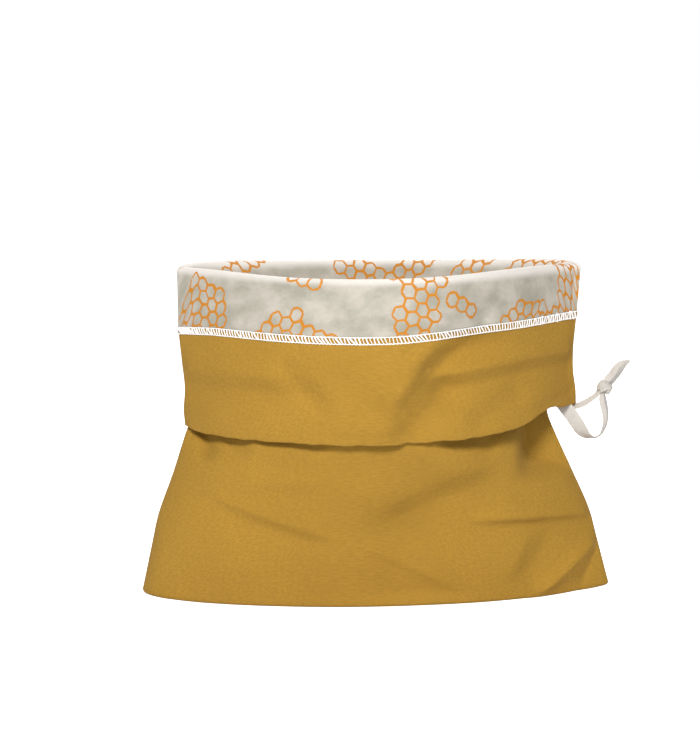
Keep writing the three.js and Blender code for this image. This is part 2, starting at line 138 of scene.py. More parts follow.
# The outermost face of the cuff from the top fold (share 0) to its edge (share 1). Left and
# right are half widths to the side seams, front and back are depths from the seam plane, and
# each arch tells how that side meets the seams: 0.5 is an ellipse, 1 a pointed arch.
CUFF_ROWS_OF_SIZES = [
    (0.00, 0.1521, 0.1564, 0.0970, 0.052, 1.10, 1.35, 0.25),
    (0.14, 0.1520, 0.1553, 0.0968, 0.052, 1.08, 1.30, 0.26),
    (0.38, 0.1516, 0.1534, 0.0962, 0.053, 1.00, 1.20, 0.30),
    (0.60, 0.1492, 0.1516, 0.0960, 0.054, 0.92, 1.10, 0.34),
    (0.76, 0.1474, 0.1518, 0.0958, 0.055, 0.86, 1.00, 0.37),
    (0.90, 0.1484, 0.1539, 0.0952, 0.056, 0.82, 0.94, 0.40),
    (1.00, 0.1476, 0.1544, 0.0942, 0.057, 0.80, 0.90, 0.42),
]
CUFF_SECTIONS = Table("share left right front back arch_left arch_right arch_back", CUFF_ROWS_OF_SIZES)


def grown(row, out):
    """A section's sizes, standing out further all round."""
    key, left, right, front, back, *arches = row
    corner = CORNER_STEP * out
    return (key, left + corner, right + corner, front + out, back + out, *arches)


def path_table(rows):
    """A tape's path as a table, whose first column counts the rows."""
    return Table("place x back z turn width fold", [(place, *row) for place, row in enumerate(rows)])


# The wall's outer face from the floor to the top fold, in the same columns
WALL_TOP = 0.248
WALL_SECTIONS = Table("height left right front back arch_left arch_right arch_back", [
    (0.000, 0.1822, 0.1830, 0.058, 0.050, 0.54, 0.84, 0.60),
    (0.038, 0.1740, 0.1726, 0.066, 0.053, 0.54, 0.86, 0.58),
    (0.062, 0.1686, 0.1658, 0.070, 0.054, 0.62, 0.87, 0.56),
    (0.094, 0.1570, 0.1514, 0.078, 0.052, 0.70, 0.84, 0.54),
    (0.122, 0.1480, 0.1384, 0.082, 0.048, 0.78, 0.90, 0.52),
    (0.138, 0.1428, 0.1322, 0.082, 0.046, 0.86, 1.04, 0.50),
    (0.160, 0.1408, 0.1310, 0.081, 0.044, 0.94, 1.10, 0.45),
    (0.195, 0.1420, 0.1370, 0.082, 0.044, 1.04, 1.22, 0.38),
    (0.225, 0.1436, 0.1454, 0.087, 0.045, 1.08, 1.30, 0.31),
    (WALL_TOP, *grown(CUFF_ROWS_OF_SIZES[0], -FOLD_WIDTH)[1:]),
])

# Heights of the top fold, the overlocked seam and the cuff's edge across the front and back
FRONT_LINES = Table("across rim seam edge", [
    (-1.00, 0.2523, 0.2037, 0.1300),
    (-0.94, 0.2523, 0.2048, 0.1284),
    (-0.80, 0.2522, 0.2066, 0.1280),
    (-0.48, 0.2508, 0.2066, 0.1294),
    (0.00, 0.2514, 0.2072, 0.1298),
    (0.25, 0.2521, 0.2096, 0.1312),
    (0.50, 0.2533, 0.2116, 0.1328),
    (0.68, 0.2539, 0.2122, 0.1360),
    (0.84, 0.2539, 0.2130, 0.1456),
    (0.93, 0.2538, 0.2135, 0.1436),
    (1.00, 0.2537, 0.2138, 0.1442),
])
BACK_LINES = Table("across rim seam edge", [
    (-1.00, 0.2523, 0.2037, 0.1300),
    (-0.92, 0.2532, 0.2044, 0.1296),
    (-0.40, 0.2526, 0.2060, 0.1304),
    (0.20, 0.2522, 0.2084, 0.1326),
    (0.60, 0.2528, 0.2110, 0.1374),
    (0.92, 0.2538, 0.2132, 0.1454),
    (1.00, 0.2537, 0.2138, 0.1442),
])

# Creases, as lines seen from the front: where each starts and ends, how far it bows up between,
# how far it stands out or, below zero, sinks in, how far it spreads on its upper and on its
# lower side, and how sharp its crest is: 2 is soft and round, near 1 is a pressed fold. A line
# that goes past a side seam keeps its height up to the seam.
Crease = namedtuple("Crease", "x1 z1 x2 z2 bow rise upper lower crest")
FRONT_WALL_CREASES = {
    "long ridge on the left": Crease(-0.150, 0.092, -0.030, 0.053, -0.0015, 0.0020, 0.014, 0.0028, 1.2),
    "hollow under it": Crease(-0.134, 0.078, -0.026, 0.044, -0.0015, -0.0012, 0.005, 0.017, 1.7),
    "high ridge on the left": Crease(-0.140, 0.094, -0.032, 0.099, 0.0, 0.0014, 0.012, 0.005, 1.6),
    "level ridge on the right": Crease(0.056, 0.066, 0.204, 0.0545, 0.0030, 0.0046, 0.0050, 0.0026, 1.15),
    "hollow under the level ridge": Crease(0.066, 0.060, 0.200, 0.048, 0.0026, -0.0016, 0.0035, 0.018, 1.6),
    "corner fold": Crease(0.192, 0.053, 0.108, -0.008, 0.0010, 0.0086, 0.0060, 0.0085, 1.1),
    "facet behind the corner fold": Crease(0.182, 0.050, 0.148, -0.014, 0.0, -0.0056, 0.010, 0.008, 1.1),
    "soft hollow at the middle": Crease(0.036, 0.124, 0.016, -0.020, 0.0, -0.0062, 0.032, 0.040, 2.0),
    "slanted ridge": Crease(0.096, 0.118, -0.012, 0.075, 0.0030, 0.0028, 0.022, 0.010, 1.8),
    "slanted hollow": Crease(0.096, 0.099, -0.018, 0.056, 0.0030, -0.0036, 0.013, 0.030, 1.8),
    "line near the floor": Crease(-0.020, 0.052, 0.064, 0.008, 0.0, 0.0018, 0.013, 0.0030, 1.2),
    "short fold on the right": Crease(0.115, 0.056, 0.095, 0.014, 0.0, 0.0022, 0.012, 0.006, 1.4),
    "hollow before the corner": Crease(0.136, 0.056, 0.106, 0.012, 0.0, -0.0024, 0.009, 0.014, 1.8),
    "swell under the cuff": Crease(-0.120, 0.134, 0.108, 0.140, 0.0, 0.0046, 0.030, 0.022, 2.0),
    "recess under the cuff": Crease(0.1225, 0.180, 0.1205, 0.088, 0.0, -0.0300, 0.0130, 0.028, 2.8),
    "pinch under the cuff": Crease(-0.1318, 0.146, -0.1300, 0.106, 0.0, -0.0080, 0.006, 0.006, 2.0),
    "slack under the cuff on the left": Crease(-0.160, 0.136, -0.094, 0.122, 0.0, -0.0074, 0.018, 0.016, 2.0),
    "hollow left of the middle": Crease(-0.100, 0.134, -0.034, 0.126, 0.0, -0.0034, 0.010, 0.006, 2.0),
    "hollow under the cuff": Crease(0.034, 0.138, 0.092, 0.122, 0.0, -0.0056, 0.012, 0.010, 2.0),
}
BACK_WALL_CREASES = {
    "long slack fold": Crease(-0.130, 0.094, 0.030, 0.050, 0.0, -0.0030, 0.018, 0.012, 1.8),
    "ridge over it": Crease(-0.110, 0.104, 0.020, 0.066, 0.0, 0.0018, 0.014, 0.007, 1.5),
    "ridge on the right": Crease(0.030, 0.072, 0.190, 0.055, 0.0030, 0.0026, 0.012, 0.005, 1.4),
}
FRONT_CUFF_CREASES = {
    "swell beside the valley": Crease(-0.004, 0.1500, 0.050, 0.2280, 0.0, 0.0058, 0.034, 0.0075, 1.7),
    "deep valley": Crease(0.020, 0.1660, 0.088, 0.2290, 0.0, -0.0090, 0.0105, 0.026, 1.7),
    "long ridge": Crease(0.002, 0.172, 0.192, 0.1845, 0.0085, 0.0062, 0.009, 0.0072, 1.4),
    "hollow under the long ridge": Crease(0.020, 0.163, 0.190, 0.176, 0.0052, -0.0036, 0.0065, 0.020, 1.7),
    "bulge at the middle": Crease(0.014, 0.204, -0.006, 0.124, 0.0, 0.0032, 0.026, 0.012, 2.0),
    "slanted hollow": Crease(0.056, 0.184, 0.002, 0.124, -0.0030, -0.0056, 0.012, 0.017, 2.0),
    "soft wave on the left": Crease(-0.190, 0.176, -0.052, 0.180, 0.0, 0.0034, 0.011, 0.008, 1.8),
    "hollow under the wave": Crease(-0.190, 0.158, -0.036, 0.166, 0.0, -0.0034, 0.008, 0.014, 2.0),
    "dent left of the middle": Crease(-0.082, 0.192, -0.040, 0.148, 0.0, -0.0036, 0.009, 0.009, 2.0),
    "hollow on the right": Crease(0.058, 0.140, 0.116, 0.163, 0.0, -0.0032, 0.010, 0.010, 2.0),
    "crease at the right end": Crease(0.112, 0.146, 0.182, 0.161, 0.0, -0.0030, 0.0045, 0.010, 1.4),
}
BACK_CUFF_CREASES = {
    "slack hollow": Crease(-0.070, 0.196, -0.014, 0.144, 0.0, -0.0034, 0.012, 0.018, 1.8),
    "slack swell": Crease(0.040, 0.182, 0.120, 0.158, 0.0, 0.0028, 0.016, 0.010, 1.8),
}

# Part of a crease's length in which it rises from nothing at either end, and how much of the
# cloth's own depth a hollow may take away
CREASE_EASE = 0.26
DEEPEST_HOLLOW = 0.8

# The side seam's allowance inside the lining, which shows as a groove beside the right end of
# the cuff: its place across the panel, how far it spreads and how deep it is
ALLOWANCE_PLACE = 0.970
ALLOWANCE_SPREAD = 0.0065
ALLOWANCE_DEPTH = 0.0011

# Creases die out this near the side seams (as a share) and the top fold, and keep only a share
# of their height at the floor and at the overlocked seam, which holds the cloth flat
SEAM_CALM = 0.035
FOLD_CALM = 0.030
FLOOR_CALM = 0.012
FLOOR_SHARE = 0.3
OVERLOCK_CALM = 0.016
OVERLOCK_SHARE = 0.3

# Slack of the whole cloth: how long its waves are and how far they stand out
SlackWave = namedtuple("SlackWave", "length rise seed")
SLACK_WAVES = [
    SlackWave(0.055, 0.0012, 3.1),
    SlackWave(0.021, 0.00040, 8.7),
    SlackWave(0.009, 0.00011, 17.3),
]

# The hem's small puckers along the cuff's edge
PUCKER_LENGTH = 0.009
PUCKER_RISE = 0.0010

Side = namedtuple("Side", "name sign lines wall_creases cuff_creases")
FRONT = Side("front", -1, FRONT_LINES, FRONT_WALL_CREASES, FRONT_CUFF_CREASES)
BACK = Side("back", 1, BACK_LINES, BACK_WALL_CREASES, BACK_CUFF_CREASES)

# The drawstring's path: its lower run from under the cuff up to the knot, through the knot,
# and its upper run back under the cuff. Back is measured from the seam plane. Turn, in
# degrees, is 0 where the tape shows its full width to the front and 90 where it is edge on.
# Fold is how deep the tape is creased lengthwise.
TAPE_PATH = path_table([
    (0.1374, -0.0026, 0.1526, 0, 0.0104, 0.0000),
    (0.1412, -0.0032, 0.1476, 0, 0.0104, 0.0000),
    (0.1456, -0.0044, 0.1420, 2, 0.0104, 0.0002),
    (0.1504, -0.0054, 0.1356, 6, 0.0104, 0.0002),
    (0.1548, -0.0062, 0.1292, 14, 0.0104, 0.0003),
    (0.1582, -0.0068, 0.1240, 30, 0.0104, 0.0004),
    (0.1624, -0.0072, 0.1201, 56, 0.0102, 0.0005),
    (0.1680, -0.0074, 0.1190, 76, 0.0100, 0.0006),
    (0.1728, -0.0072, 0.1214, 68, 0.0098, 0.0008),
    (0.1758, -0.0068, 0.1266, 56, 0.0094, 0.0012),
    (0.1772, -0.0064, 0.1328, 48, 0.0092, 0.0018),
    (0.1770, -0.0060, 0.1390, 40, 0.0090, 0.0022),
    (0.1756, -0.0056, 0.1456, 32, 0.0086, 0.0024),
    (0.1746, -0.0054, 0.1506, 32, 0.0076, 0.0020),
    (0.1752, -0.0056, 0.1558, 50, 0.0054, 0.0012),
    (0.1738, -0.0056, 0.1582, 60, 0.0048, 0.0006),
    (0.1716, -0.0054, 0.1560, 66, 0.0058, 0.0008),
    (0.1690, -0.0050, 0.1522, 70, 0.0072, 0.0010),
    (0.1648, -0.0040, 0.1488, 71, 0.0082, 0.0010),
    (0.1604, -0.0028, 0.1456, 71, 0.0086, 0.0008),
    (0.1560, -0.0014, 0.1434, 70, 0.0084, 0.0006),
    (0.1514, 0.0002, 0.1422, 70, 0.0082, 0.0004),
    (0.1466, 0.0016, 0.1442, 70, 0.0080, 0.0002),
    (0.1426, 0.0024, 0.1486, 70, 0.0080, 0.0000),
])
TAIL_PATH = path_table([
    (0.1770, -0.0056, 0.1602, 20, 0.0080, 0.0026),
    (0.1797, -0.0059, 0.1629, 12, 0.0104, 0.0046),
    (0.1824, -0.0061, 0.1659, 8, 0.0098, 0.0052),
    (0.1847, -0.0065, 0.1694, 6, 0.0100, 0.0050),
    (0.1868, -0.0070, 0.1732, 4, 0.0088, 0.0034),
    (0.1898, -0.0077, 0.1764, 6, 0.0060, 0.0010),
    (0.1944, -0.0082, 0.1788, 16, 0.0008, 0.0001),
])

# The tape's full width, steps from one place of a path to the next, points across each of its
# faces, and the shape of its section: 1 is an oval, and less is flatter
TAPE_WIDTH = 0.0104
TAPE_STEPS_A_ROW = 6
TAPE_POINTS_ACROSS = 16
TAPE_ROUNDNESS = 0.5

# Where across the tape its lengthwise crease lies, from -1 at one edge to 1 at the other
TAPE_CREASE = 0.3

# The knot: its centre, half sizes across, front to back and up, and the lean of its top
KNOT_CENTRE = Vector((0.1753, SEAM_PLANE - 0.0056, 0.1579))
KNOT_HALF = Vector((0.0058, 0.0052, 0.0064))
KNOT_LEAN = math.radians(18)

# Names of the material slots
OUTER_SLOT = "outer_cloth"
LINING_SLOT = "lining"
THREAD_SLOT = "thread"
TAPE_SLOT = "tape"
BODY = "root"


def colour_property(name, description, default):
    """A colour that a user can change, in linear light."""
    return bpy.props.FloatVectorProperty(
        name=name, description=description, default=default, subtype="COLOR", size=3, min=0.0, max=1.0,
    )


def length_property(name, description, default):
    """A length in metres that a user can change."""
    return bpy.props.FloatProperty(
        name=name, description=description, default=default, min=0.0, unit="LENGTH", precision=5,
    )


class BreadBagClothSettings(bpy.types.PropertyGroup):
    """Colours and thread sizes of the two cloths"""

    outer_colour: colour_property("Outer colour", "Dye of the outer cotton", (0.53, 0.293, 0.041))
    outer_thread: length_property("Outer thread", "Distance between threads of the outer cotton", 0.00068)
    outer_fleck: length_property("Outer fleck", "Thickness of the flecks in the outer cotton", 0.0009)
    lining_colour: colour_property("Lining colour", "Ground of the waxed lining", (0.53, 0.485, 0.42))
    wax_colour: colour_property("Wax colour", "Lining where the wax lies thick", (0.36, 0.34, 0.275))
    # The rim colour is a painted highlight: it lightens the lining at the top fold, where the fold catches
    # the light from above
    rim_highlight_colour: colour_property(
        "Rim colour", "Lining where the wax is worn off at the top fold", (0.72, 0.68, 0.63),
    )
    lining_thread: length_property("Lining thread", "Distance between threads of the lining", 0.0004)


class BreadBagPrintSettings(bpy.types.PropertyGroup):
    """The honeycomb printed on the lining"""

    colour: colour_property("Print colour", "Ink of the honeycomb", (0.56, 0.205, 0.003))
    cell_width: length_property("Cell width", "Distance between the middles of two cells", 0.0100)
    line_width: length_property("Line width", "Thickness of a printed line", 0.0017)
    cluster_spacing: length_property("Cluster spacing", "Distance between groups of cells", 0.084)


class BreadBagSeamSettings(bpy.types.PropertyGroup):
    """The overlocked seam round the cuff"""

    colour: colour_property("Thread colour", "Overlock thread", (0.93, 0.91, 0.88))
    pitch: length_property("Stitch pitch", "Distance between stitches", 0.0027)
    height: length_property("Seam height", "Height of the whole band of thread", 0.0058)
    bar_thickness: length_property("Bar thickness", "Thickness of one slanted stitch", 0.0011)
    edge_thickness: length_property("Edge thickness", "Thickness of the looped edges", 0.0009)
    slant: length_property("Slant", "How far a stitch leans along the seam", 0.0022)
    seed: bpy.props.IntProperty(name="Seed", description="Seed of the uneven stitches", default=5, min=0)


class BreadBagTapeSettings(bpy.types.PropertyGroup):
    """The drawstring's cotton tape"""

    colour: colour_property("Tape colour", "Natural cotton tape", (0.60, 0.56, 0.51))
    thickness: length_property("Tape thickness", "Thickness of the tape", 0.0012)
    rib: length_property("Rib", "Distance between the tape's ribs", 0.0011)


class BreadBagStageSettings(bpy.types.PropertyGroup):
    """Camera, floor and light"""

    lens: bpy.props.FloatProperty(
        name="Lens", description="Focal length on a 36 mm wide sensor", default=98.72, min=10.0,
        unit="CAMERA",
    )
    key_power: bpy.props.FloatProperty(
        name="Key light", description="Power of the soft key light", default=53.0, min=0.0, unit="POWER",
    )
    room_light: bpy.props.FloatProperty(
        name="Room light", description="Strength of the even light all round", default=0.20, min=0.0,
    )
    floor_colour: colour_property("Floor colour", "Plain pale floor", (0.9, 0.9, 0.9))


# Geometry of the cloth


def mix(a, b, share):
    """From a, at share 0, to b, at share 1."""
    return a + (b - a) * share


def steps(count):
    """Shares after the first of a run of equal steps."""
    return [(i + 1) / count for i in range(count)]


def calm(across):
    """A share that falls from 1 to 0 towards each side seam."""
    return np.clip((1 - np.abs(across)) / SEAM_CALM, 0, 1)


def left_or_right(table, prefix, across, at):
    """A size that differs between the bag's left and its right, at places across."""
    return np.where(across < 0, table.read(prefix + "left", at), table.read(prefix + "right", at))


def pucker(across):
    """Small rises and dips of the cuff's edge."""
    waves = PANEL_WIDTH / 2 / PUCKER_LENGTH
    rise = [noise.noise(Vector((place * waves, 0.5, 0.5))) for place in across]
    return PUCKER_RISE * np.array(rise) * calm(across)


def fold_centre(side, across):
    """Height of the middle of the top fold."""
    return side.lines.read("rim", across) - FOLD_GAP / 2 - STACK


def hem_centre(side, across):
    """Height of the middle of the cuff's hem."""
    return side.lines.read("edge", across) + HEM_RADIUS + pucker(across)


def seam_level(side, off):
    """A level function that runs along the overlocked seam, off above its middle."""
    return lambda across: side.lines.read("seam", across) + off


def eased(share):
    """A share from 0 to 1 that starts and stops gently."""
    t = np.clip(share, 0, 1)
    return t * t * (3 - 2 * t)


def crease_relief(creases, x, z):
    """How far the creases lift the cloth at each place."""
    relief = np.zeros(np.broadcast(x, z).shape)
    for crease in creases.values():
        run_x = crease.x2 - crease.x1
        run_z = crease.z2 - crease.z1
        length = math.hypot(run_x, run_z)
        off_x = x - crease.x1
        off_z = z - crease.z1
        along = (off_x * run_x + off_z * run_z) / length**2
        up = math.copysign(1, run_x) * (off_z * run_x - off_x * run_z) / length
        up = up - crease.bow * 4 * along * (1 - along)
        away = np.abs(up) / np.where(up > 0, crease.upper, crease.lower)
        height = eased(along / CREASE_EASE) * eased((1 - along) / CREASE_EASE)
        relief += crease.rise * height * np.exp(-(away**crease.crest))
    return relief


def slack_relief(side, x, z):
    """Gentle unevenness of soft cloth, the same on every layer."""
    places = np.broadcast_arrays(x, z)
    relief = np.zeros(places[0].shape)
    for wave in SLACK_WAVES:
        seed = wave.seed * side.sign
        spots = [Vector((px / wave.length, seed, pz / wave.length)) for px, pz in zip(*places)]
        relief += wave.rise * np.array([noise.noise(spot) for spot in spots])
    return relief


def cloth_points(side, table, at, across, inset, z, relief, share=1.0):
    """Points of the cloth on one side of the bag. Inset is how far they lie inside the table's
    section, and share runs from the seam line (0) out to the section (1)."""
    half = left_or_right(table, "", across, at) - CORNER_STEP * inset
    depth = table.read(side.name, at) - inset
    power = table.read("arch_back", at) if side is BACK else left_or_right(table, "arch_", across, at)
    body = depth * np.clip(1 - across**2, 0, 1) ** power
    out = body * share + np.maximum(relief * calm(across), -DEEPEST_HOLLOW * body)
    return np.stack([half * across, SEAM_PLANE + side.sign * out, z + 0 * across], axis=-1)


def wall_relief(side, across, z):
    """How far creases and slack lift the wall, which is less close to the floor."""
    x = left_or_right(WALL_SECTIONS, "", across, z) * across
    relief = crease_relief(side.wall_creases, x, z) + slack_relief(side, x, z)
    return relief * mix(FLOOR_SHARE, 1, eased(z / FLOOR_CALM))


def cuff_relief(side, across, z):
    """How far creases and slack lift the cuff, which is less close to the top fold and to the
    overlocked seam, and how far the side seam's allowance sinks in above that seam."""
    above_seam = z - side.lines.read("seam", across)
    fade = eased((fold_centre(side, across) - z) / FOLD_CALM)
    fade = fade * mix(OVERLOCK_SHARE, 1, eased(np.abs(above_seam) / OVERLOCK_CALM))
    x = left_or_right(CUFF_SECTIONS, "", across, 0) * across
    groove = np.exp(-(((across - ALLOWANCE_PLACE) / ALLOWANCE_SPREAD) ** 2))
    groove = ALLOWANCE_DEPTH * groove * np.clip(above_seam / SEAM_BAND_HALF, 0, 1)
    return (crease_relief(side.cuff_creases, x, z) + slack_relief(side, x, z)) * fade - groove


# Stations along the cloth, from the middle of the base up the wall, over the fold and down
# the cuff. Each gives a row of points at the places across and at a depth into the cloth.


def base_station(side, across, share):
    """Under the bag, from the line between the panels (share 0) out to the bend (1)."""
    relief = share * wall_relief(side, across, 0 * across)
    return lambda depth: cloth_points(
        side, WALL_SECTIONS, 0.0, across, FLOOR_BEND, depth, relief, share,
    )


def bend_station(side, across, share):
    """Round the bend from the base (share 0) up into the wall (1)."""
    angle = share * math.pi / 2

    def row(depth):
        radius = FLOOR_BEND - depth
        inset = FLOOR_BEND - radius * math.sin(angle)
        z = FLOOR_BEND - radius * math.cos(angle)
        relief = wall_relief(side, across, z + 0 * across)
        return cloth_points(side, WALL_SECTIONS, z, across, inset, z, relief)

    return row


def wall_station(side, across, share):
    """Up the wall, from the bend (share 0) to the top fold (1)."""
    z = mix(FLOOR_BEND, fold_centre(side, across), share)
    relief = wall_relief(side, across, z)
    return lambda depth: cloth_points(side, WALL_SECTIONS, z, across, depth, z, relief)


def fold_station(side, across, share):
    """Over the top fold, from the wall (share 0) to the cuff (1)."""
    angle = share * math.pi
    centre = fold_centre(side, across)

    def row(depth):
        radius = FOLD_GAP / 2 + depth
        inset = radius * math.cos(angle) - FOLD_GAP / 2
        z = centre + radius * math.sin(angle)
        return cloth_points(side, WALL_SECTIONS, centre, across, inset, z, 0.0)

    return row


def cuff_points(side, across, inset, level, z):
    """Points of the cuff at a height z, with the section and the relief that it has at a level."""
    top = fold_centre(side, across)
    share = (top - level) / (top - hem_centre(side, across))
    relief = cuff_relief(side, across, level)
    return cloth_points(side, CUFF_SECTIONS, share, across, inset, z, relief)


def cuff_station(side, across, level_at):
    """The cuff's inner side, which the wall's cloth runs on into, and the lining over it."""
    z = level_at(across)
    return lambda depth: cuff_points(side, across, STACK - depth, z, z)


def hem_station(side, across, share):
    """Round the cuff's hem, from its inner side (share 0) to the facing (1)."""
    angle = share * math.pi
    centre = hem_centre(side, across)

    def row(depth):
        radius = HEM_RADIUS - depth
        inset = HEM_RADIUS + radius * math.cos(angle)
        return cuff_points(side, across, inset, centre, centre - radius * math.sin(angle))

    return row


def facing_station(side, across, level_at):
    """The facing, which comes back up over the cuff from its hem."""
    z = level_at(across)
    return lambda depth: cuff_points(side, across, depth, z, z)


def levels_between(count, start, end):
    """Level functions after the first of a run of equal steps from one line to another."""
    return [lambda across, share=share: mix(start(across), end(across), share) for share in steps(count)]


def bag_stations(side, across, band_rows):
    """The stations that both cloths have, from the base to just above the overlocked seam."""
    wall_shares = [share * HIDDEN_FROM for share in steps(SEEN_WALL_ROWS)]
    wall_shares += [mix(HIDDEN_FROM, 1, share) for share in steps(HIDDEN_WALL_ROWS)]
    band = levels_between(band_rows, lambda x: fold_centre(side, x), seam_level(side, SEAM_BAND_HALF))
    return [
        base_station(side, across, 0.0),
        *[base_station(side, across, share) for share in steps(BASE_ROWS)],
        *[bend_station(side, across, share) for share in steps(BEND_ROWS)],
        *[wall_station(side, across, share) for share in wall_shares],
        *[fold_station(side, across, share) for share in steps(FOLD_ROWS)],
        *[cuff_station(side, across, level) for level in band],
    ]


def outer_stations(side, across):
    """The outer cloth's stations, which go on down the cuff, round its hem and up the facing."""
    highest = seam_level(side, -SEAM_BAND_HALF)
    inner = levels_between(CUFF_ROWS, highest, lambda x: hem_centre(side, x))
    facing = levels_between(FACING_ROWS, lambda x: hem_centre(side, x), seam_level(side, JOIN_RISE))
    return [
        *bag_stations(side, across, OUTER_BAND_ROWS),
        cuff_station(side, across, highest),
        *[cuff_station(side, across, level) for level in inner],
        *[hem_station(side, across, share) for share in steps(HEM_ROWS)],
        *[facing_station(side, across, level) for level in facing],
    ]


def lining_stations(side, across):
    """The lining's stations, which end under the overlocked seam."""
    end = seam_level(side, JOIN_RISE + JOIN_GAP)
    return [*bag_stations(side, across, LINING_BAND_ROWS), cuff_station(side, across, end)]


def across_places(side):
    """Places across a panel, closer together towards the side seams."""
    even = -side.sign * np.linspace(-1, 1, PANEL_COLUMNS + 1)
    return mix(even, np.sin(even * math.pi / 2), SEAM_CROWDING)


def arc_lengths(points, axis):
    """Distance walked along an axis of a grid of points."""
    steps_walked = np.linalg.norm(np.diff(points, axis=axis), axis=2)
    walked = np.cumsum(steps_walked, axis=axis)
    first = np.zeros_like(np.take(walked, [0], axis=axis))
    return np.concatenate([first, walked], axis=axis)


def panel_faces(side, stations_of, layer, hidden):
    """One panel's near and far faces, each a grid of points with the cloth's own u and v. The
    hidden face, number 0 or 1, keeps every other row."""
    across = across_places(side)
    stations = stations_of(side, across)
    near, far = [np.array([station(depth) for station in stations]) for depth in layer]
    middle = (near + far) / 2
    width = arc_lengths(middle, axis=1)
    start = 0.0 if side is FRONT else PANEL_WIDTH
    across_cloth = start + width / width[:, -1:] * PANEL_WIDTH
    uv = np.stack([across_cloth, arc_lengths(middle, axis=0)], axis=-1)
    last = len(stations) - 1
    kept = [np.arange(last + 1)] * 2
    kept[hidden] = np.append(np.arange(0, last, 2), last)
    return [(grid[rows], uv[rows]) for grid, rows in zip((near, far), kept)]


def grid_quads(rows, columns, first, turned):
    """Corner numbers of a grid's quads, wound the other way round if turned."""
    index = first + np.arange(rows * columns).reshape(rows, columns)
    a, b, c, d = index[:-1, :-1], index[:-1, 1:], index[1:, 1:], index[1:, :-1]
    corners = (a, d, c, b) if turned else (a, b, c, d)
    return np.stack(corners, axis=-1).reshape(-1, 4)


def mesh_with_uv(name, points, faces, uv):
    """A smooth mesh whose corners carry the points' own u and v, in metres."""
    mesh = bpy.data.meshes.new(name)
    mesh.from_pydata(points.tolist(), [], faces)
    layer = mesh.uv_layers.new(name="cloth")
    corners = np.empty(len(mesh.loops), int)
    mesh.loops.foreach_get("vertex_index", corners)
    layer.data.foreach_set("uv", uv[corners].astype(np.float32).ravel())
    mesh.polygons.foreach_set("use_smooth", np.ones(len(mesh.polygons), bool))
    return mesh


def reshape(mesh, change):
    """Makes a change to a mesh in its editing form."""
    shape = bmesh.new()
    shape.from_mesh(mesh)
    change(shape)
    shape.to_mesh(mesh)
    shape.free()
    mesh.update()


def close_seams(shape):
    """Joins the panels where they meet, which closes the cloth."""
    bmesh.ops.remove_doubles(shape, verts=shape.verts, dist=SAME_POINT)


def turn_outwards(shape):
    """Turns all faces outwards."""
    bmesh.ops.recalc_face_normals(shape, faces=shape.faces)


def cloth_mesh(name, stations_of, layer, hidden):
    """Both panels of a cloth, sewn together at the sides and under the base, with its last edge
    closed between its two faces."""
    points = []
    coordinates = []
    faces = []
    count = 0
    for side in (FRONT, BACK):
        edges = []
        for face, (grid, uv) in enumerate(panel_faces(side, stations_of, layer, hidden)):
            rows, columns = grid.shape[:2]
            points.append(grid.reshape(-1, 3))
            coordinates.append(uv.reshape(-1, 2))
            faces.append(grid_quads(rows, columns, count, turned=face == 1))
            count += rows * columns
            edges.append(count - columns + np.arange(columns))
        near, far = edges
        faces.append(np.stack([near[:-1], near[1:], far[1:], far[:-1]], axis=-1))
    corners = np.concatenate(faces).tolist()
    mesh = mesh_with_uv(name, np.concatenate(points), corners, np.concatenate(coordinates))
    reshape(mesh, close_seams)
    return mesh


def new_object(name, data):
    """An object in the scene that shows the data."""
    made = bpy.data.objects.new(name, data)
    bpy.context.scene.collection.objects.link(made)
    return made


def add_piece(name, mesh, material, slot, *nodes):
    """Puts a finished mesh in the scene as a piece that stands for the frame's nodes."""
    piece = new_object(name, mesh)
    mesh.materials.clear()
    mesh.materials.append(material)
    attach(piece, BODY)
    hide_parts(*nodes)
    return piece


# Geometry of the tie


def tape_frames(path):
    """Centres along a tape's path, and its direction, turn, width and fold at each."""
    last = path.keys[-1]
    place = np.linspace(0, last, int(last) * TAPE_STEPS_A_ROW + 1)
    columns = [path.read(name, place) for name in ("x", "back", "z")]
    centre = np.stack(columns, axis=-1) + np.array([0, SEAM_PLANE, 0])
    along = np.gradient(centre, axis=0)
    along /= np.linalg.norm(along, axis=1)[:, None]
    turn = np.radians(path.read("turn", place))
    return centre, along, turn, path.read("width", place), path.read("fold", place)


def tape_mesh(name, path, thickness):
    """Flat tape swept along a path, with soft edges and closed ends."""
    centre, along, turn, width, fold = tape_frames(path)
    flat = np.cross(along, np.array([0.0, 1.0, 0.0]))
    flat /= np.linalg.norm(flat, axis=1)[:, None]
    flat = carried_on(flat)
    through = np.cross(along, flat)
    wide = flat * np.cos(turn)[:, None] + through * np.sin(turn)[:, None]
    thick = np.cross(along, wide)
    angles = (np.arange(2 * TAPE_POINTS_ACROSS) + 0.5) / (2 * TAPE_POINTS_ACROSS) * 2 * math.pi
    side_way = np.cos(angles)
    up_way = np.sign(np.sin(angles)) * np.abs(np.sin(angles)) ** TAPE_ROUNDNESS
    creased = fold[:, None] * (0.5 - np.abs(side_way - TAPE_CREASE))
    rings = (
        centre[:, None]
        + wide[:, None] * (width[:, None] / 2 * side_way)[..., None]
        + thick[:, None] * (thickness / 2 * up_way + creased)[..., None]
    )
    walked = np.concatenate([[0], np.cumsum(np.linalg.norm(np.diff(centre, axis=0), axis=1))])
    across = np.tile(side_way * TAPE_WIDTH / 2, (len(centre), 1))
    uv = np.stack([across, np.tile(walked[:, None], (1, len(angles)))], axis=-1)
    return ring_mesh(name, rings, uv), centre


def carried_on(directions):
    """Turns directions round where they would flip from one step to the next."""
    kept = directions.copy()
    for i in range(1, len(kept)):
        if np.dot(kept[i], kept[i - 1]) < 0:
            kept[i] = -kept[i]
    return kept


